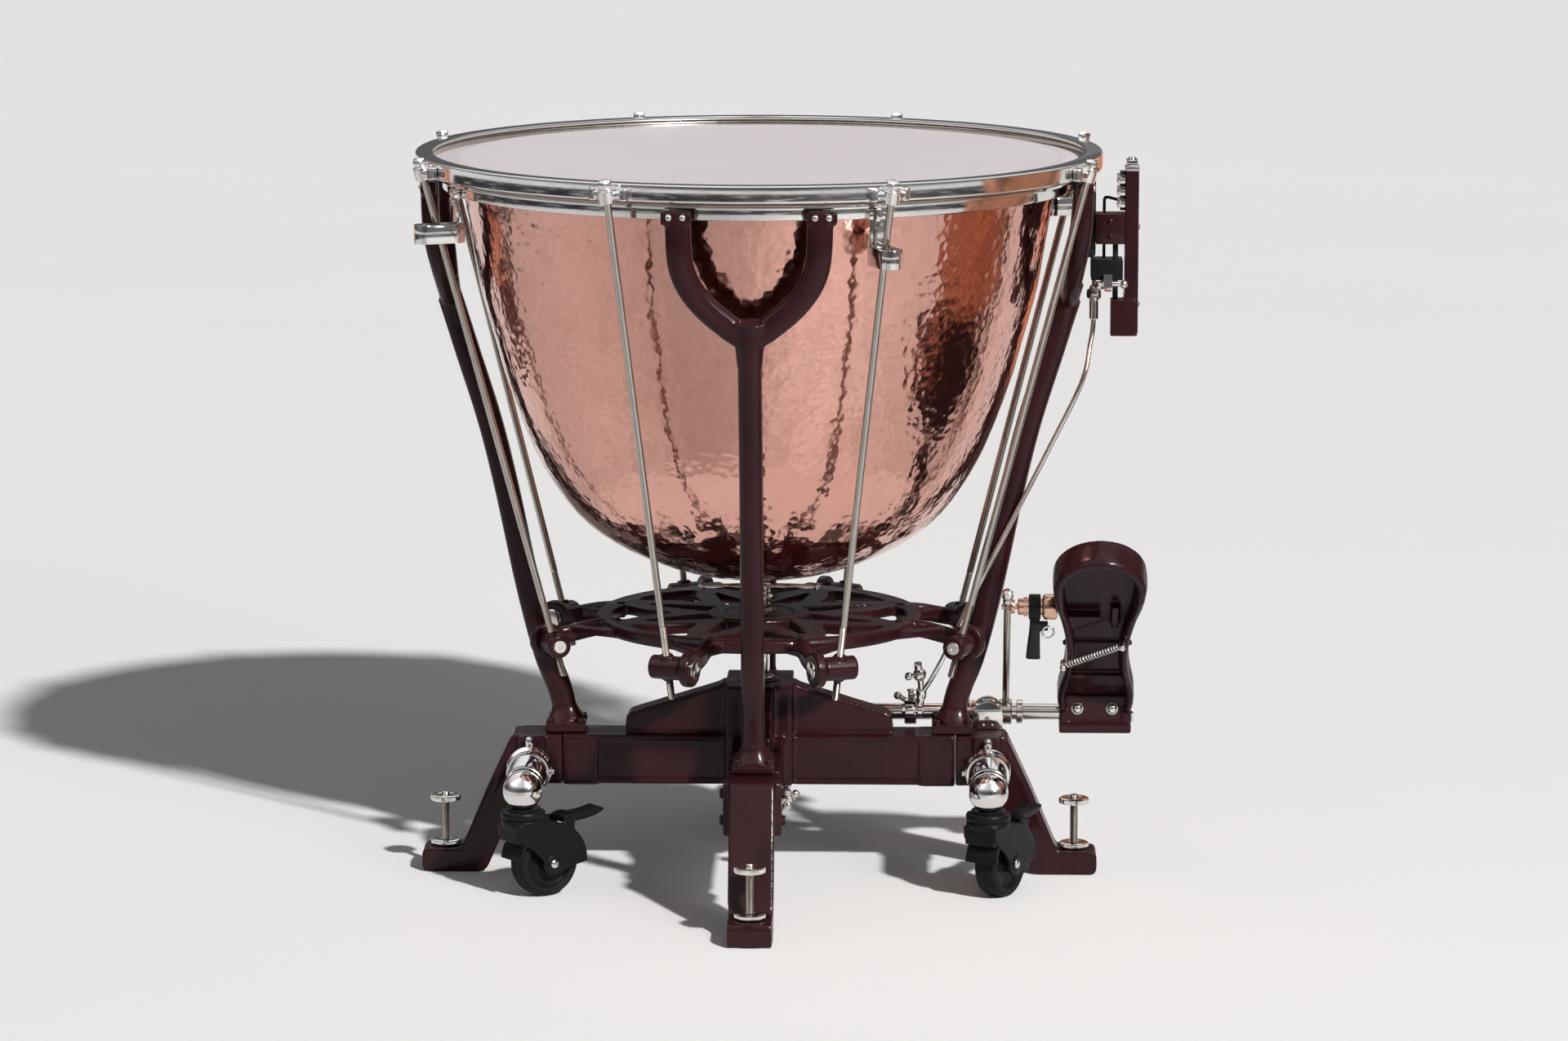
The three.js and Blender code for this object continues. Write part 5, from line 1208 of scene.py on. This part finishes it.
def painted_floor_reflection():
    """A painted reflection of the floor in front, seen only by metal: painted brighter and darker lanes by direction,
    and a painted dark studio beyond 3.3 m.
    """
    m = Mat("painted_floor_reflection").set(Metallic=0.0, Specular_IOR_Level=0.1)
    s_ = m.n.new("ShaderNodeSeparateXYZ")
    m.link(m.co.outputs["Object"], s_.inputs[0])
    az = m.math("ARCTAN2", s_.outputs["X"], m.math("MULTIPLY", s_.outputs["Y"], -1.0))
    soft = m.noise(1.1, 3, 0.55)
    blot = m.noise(6.5, 3, 0.6)
    az = m.math("ADD", az, m.math("MULTIPLY", m.math("SUBTRACT", soft, 0.5), 0.5))
    u = m.maprange(az, -1.92, 1.92, 0.0, 1.0)
    # painted reflection: brightness by direction round the drum, with a painted highlight lane just right of the front
    painted_reflection_lanes = m.ramp(u, [(0.0, 0.62), (0.16, 0.74), (0.27, 0.64), (0.36, 0.47), (0.44, 0.50), (0.51, 0.66), (0.56, 0.84), (0.63, 0.90), (0.70, 0.78), (0.80, 0.68), (1.0, 0.60)])
    # painted darker patches in the reflection
    painted_reflection_lanes = m.mix(m.maprange(blot, 0.44, 0.60, 0.0, 0.42), painted_reflection_lanes, (0.40, 0.38, 0.38))
    r = m.math("SQRT", m.math("ADD", m.math("MULTIPLY", s_.outputs["X"], s_.outputs["X"]), m.math("MULTIPLY", s_.outputs["Y"], s_.outputs["Y"])))
    r = m.math("ADD", r, m.math("MULTIPLY", m.math("SUBTRACT", blot, 0.5), 1.2))
    # beyond 3.3 m: painted dark studio with grey patches
    far_painted_dark = m.mix(m.maprange(soft, 0.57, 0.62, 0.0, 1.0), (0.008, 0.007, 0.008), (0.50, 0.50, 0.51))
    col = m.mix(m.maprange(r, 2.9, 3.3, 0.0, 1.0), painted_reflection_lanes, far_painted_dark)
    m.out(Base_Color=col, Roughness=m.maprange(blot, 0.3, 0.7, 0.7, 0.9))
    me = bpy.data.meshes.new("painted_floor_reflection")
    V, F = [], []
    ang = np.radians(np.linspace(-118, 118, 60))
    for rr in (0.62, 9.0):
        V += [(rr * math.sin(t), -rr * math.cos(t), 0.0025) for t in ang]
    F = [(i, 60 + i, 61 + i, i + 1) for i in range(59)]
    me.from_pydata(V, [], F)
    me.materials.append(m.m)
    o = bpy.data.objects.new("painted_floor_reflection", me)
    COL.objects.link(o)
    o.visible_camera = o.visible_shadow = o.visible_diffuse = o.visible_transmission = o.visible_volume_scatter = False


painted_floor_reflection()

world = bpy.data.worlds.new("studio")
SC.world = world
world.use_nodes = True
wt = world.node_tree
wt.nodes.clear()


def wnode(kind, **kw):
    n_ = wt.nodes.new(kind)
    for k, v in kw.items():
        setattr(n_, k, v)
    return n_


wo = wnode("ShaderNodeOutputWorld")
lp = wnode("ShaderNodeLightPath")
bg_cam = wnode("ShaderNodeBackground")
bg_cam.inputs["Color"].default_value = (0.80, 0.80, 0.805, 1)
bg_fill = wnode("ShaderNodeBackground")
bg_fill.inputs["Color"].default_value = (0.20, 0.20, 0.207, 1)
bg = wnode("ShaderNodeBackground")
co = wnode("ShaderNodeTexCoord")
sep = wnode("ShaderNodeSeparateXYZ")
wt.links.new(co.outputs["Generated"], sep.inputs[0])


def wramp(src, lo, hi, stops):
    mp_ = wnode("ShaderNodeMapRange")
    mp_.inputs["From Min"].default_value, mp_.inputs["From Max"].default_value = lo, hi
    wt.links.new(src, mp_.inputs["Value"])
    r_ = wnode("ShaderNodeValToRGB")
    while len(r_.color_ramp.elements) < len(stops):
        r_.color_ramp.elements.new(0.5)
    for e_, (p_, v_) in zip(r_.color_ramp.elements, stops):
        e_.position, e_.color = p_, ((*v_, 1) if hasattr(v_, "__len__") else (v_, v_, v_ * 1.01, 1))
    wt.links.new(mp_.outputs["Result"], r_.inputs["Fac"])
    return r_.outputs["Color"]


# dark studio above the floor's edge, soft boxes higher up
up = wramp(sep.outputs["Z"], -1, 1, [(0.0, 0.5), (0.49, 0.5), (0.503, 0.10), (0.60, 0.10), (0.68, 0.22), (0.76, 0.85), (0.90, 1.0), (1.0, 1.0)])
az_ = wnode("ShaderNodeMath", operation="ARCTAN2")
wt.links.new(sep.outputs["X"], az_.inputs[0])
wt.links.new(sep.outputs["Y"], az_.inputs[1])
# 0 and 1 = -Y, 0.25 = -X, 0.5 = +Y, 0.75 = +X
round_ = wramp(az_.outputs[0], -math.pi, math.pi, [(0.0, 0.75), (0.07, 1.0), (0.14, 1.7), (0.22, 1.7), (0.27, 0.7), (0.36, 0.9), (0.5, 1.1), (0.64, 0.8), (0.72, 0.6), (0.78, 1.5), (0.86, 1.9), (0.93, 1.1), (0.97, 0.6), (1.0, 0.75)])
mul = wnode("ShaderNodeMix", data_type="RGBA", blend_type="MULTIPLY")
ci = [i for i in mul.inputs if i.enabled]
ci[0].default_value = 1.0
wt.links.new(up, ci[1])
wt.links.new(round_, ci[2])
wt.links.new([o for o in mul.outputs if o.enabled][0], bg.inputs["Color"])
mix_a, mix_b = wnode("ShaderNodeMixShader"), wnode("ShaderNodeMixShader")
wt.links.new(lp.outputs["Is Glossy Ray"], mix_a.inputs["Fac"])
wt.links.new(bg_fill.outputs[0], mix_a.inputs[1])
wt.links.new(bg.outputs[0], mix_a.inputs[2])
wt.links.new(lp.outputs["Is Camera Ray"], mix_b.inputs["Fac"])
wt.links.new(mix_a.outputs[0], mix_b.inputs[1])
wt.links.new(bg_cam.outputs[0], mix_b.inputs[2])
wt.links.new(mix_b.outputs[0], wo.inputs["Surface"])

SC.view_settings.view_transform = "Standard"
SC.view_settings.look = "None"
SC.view_settings.exposure = 0.0
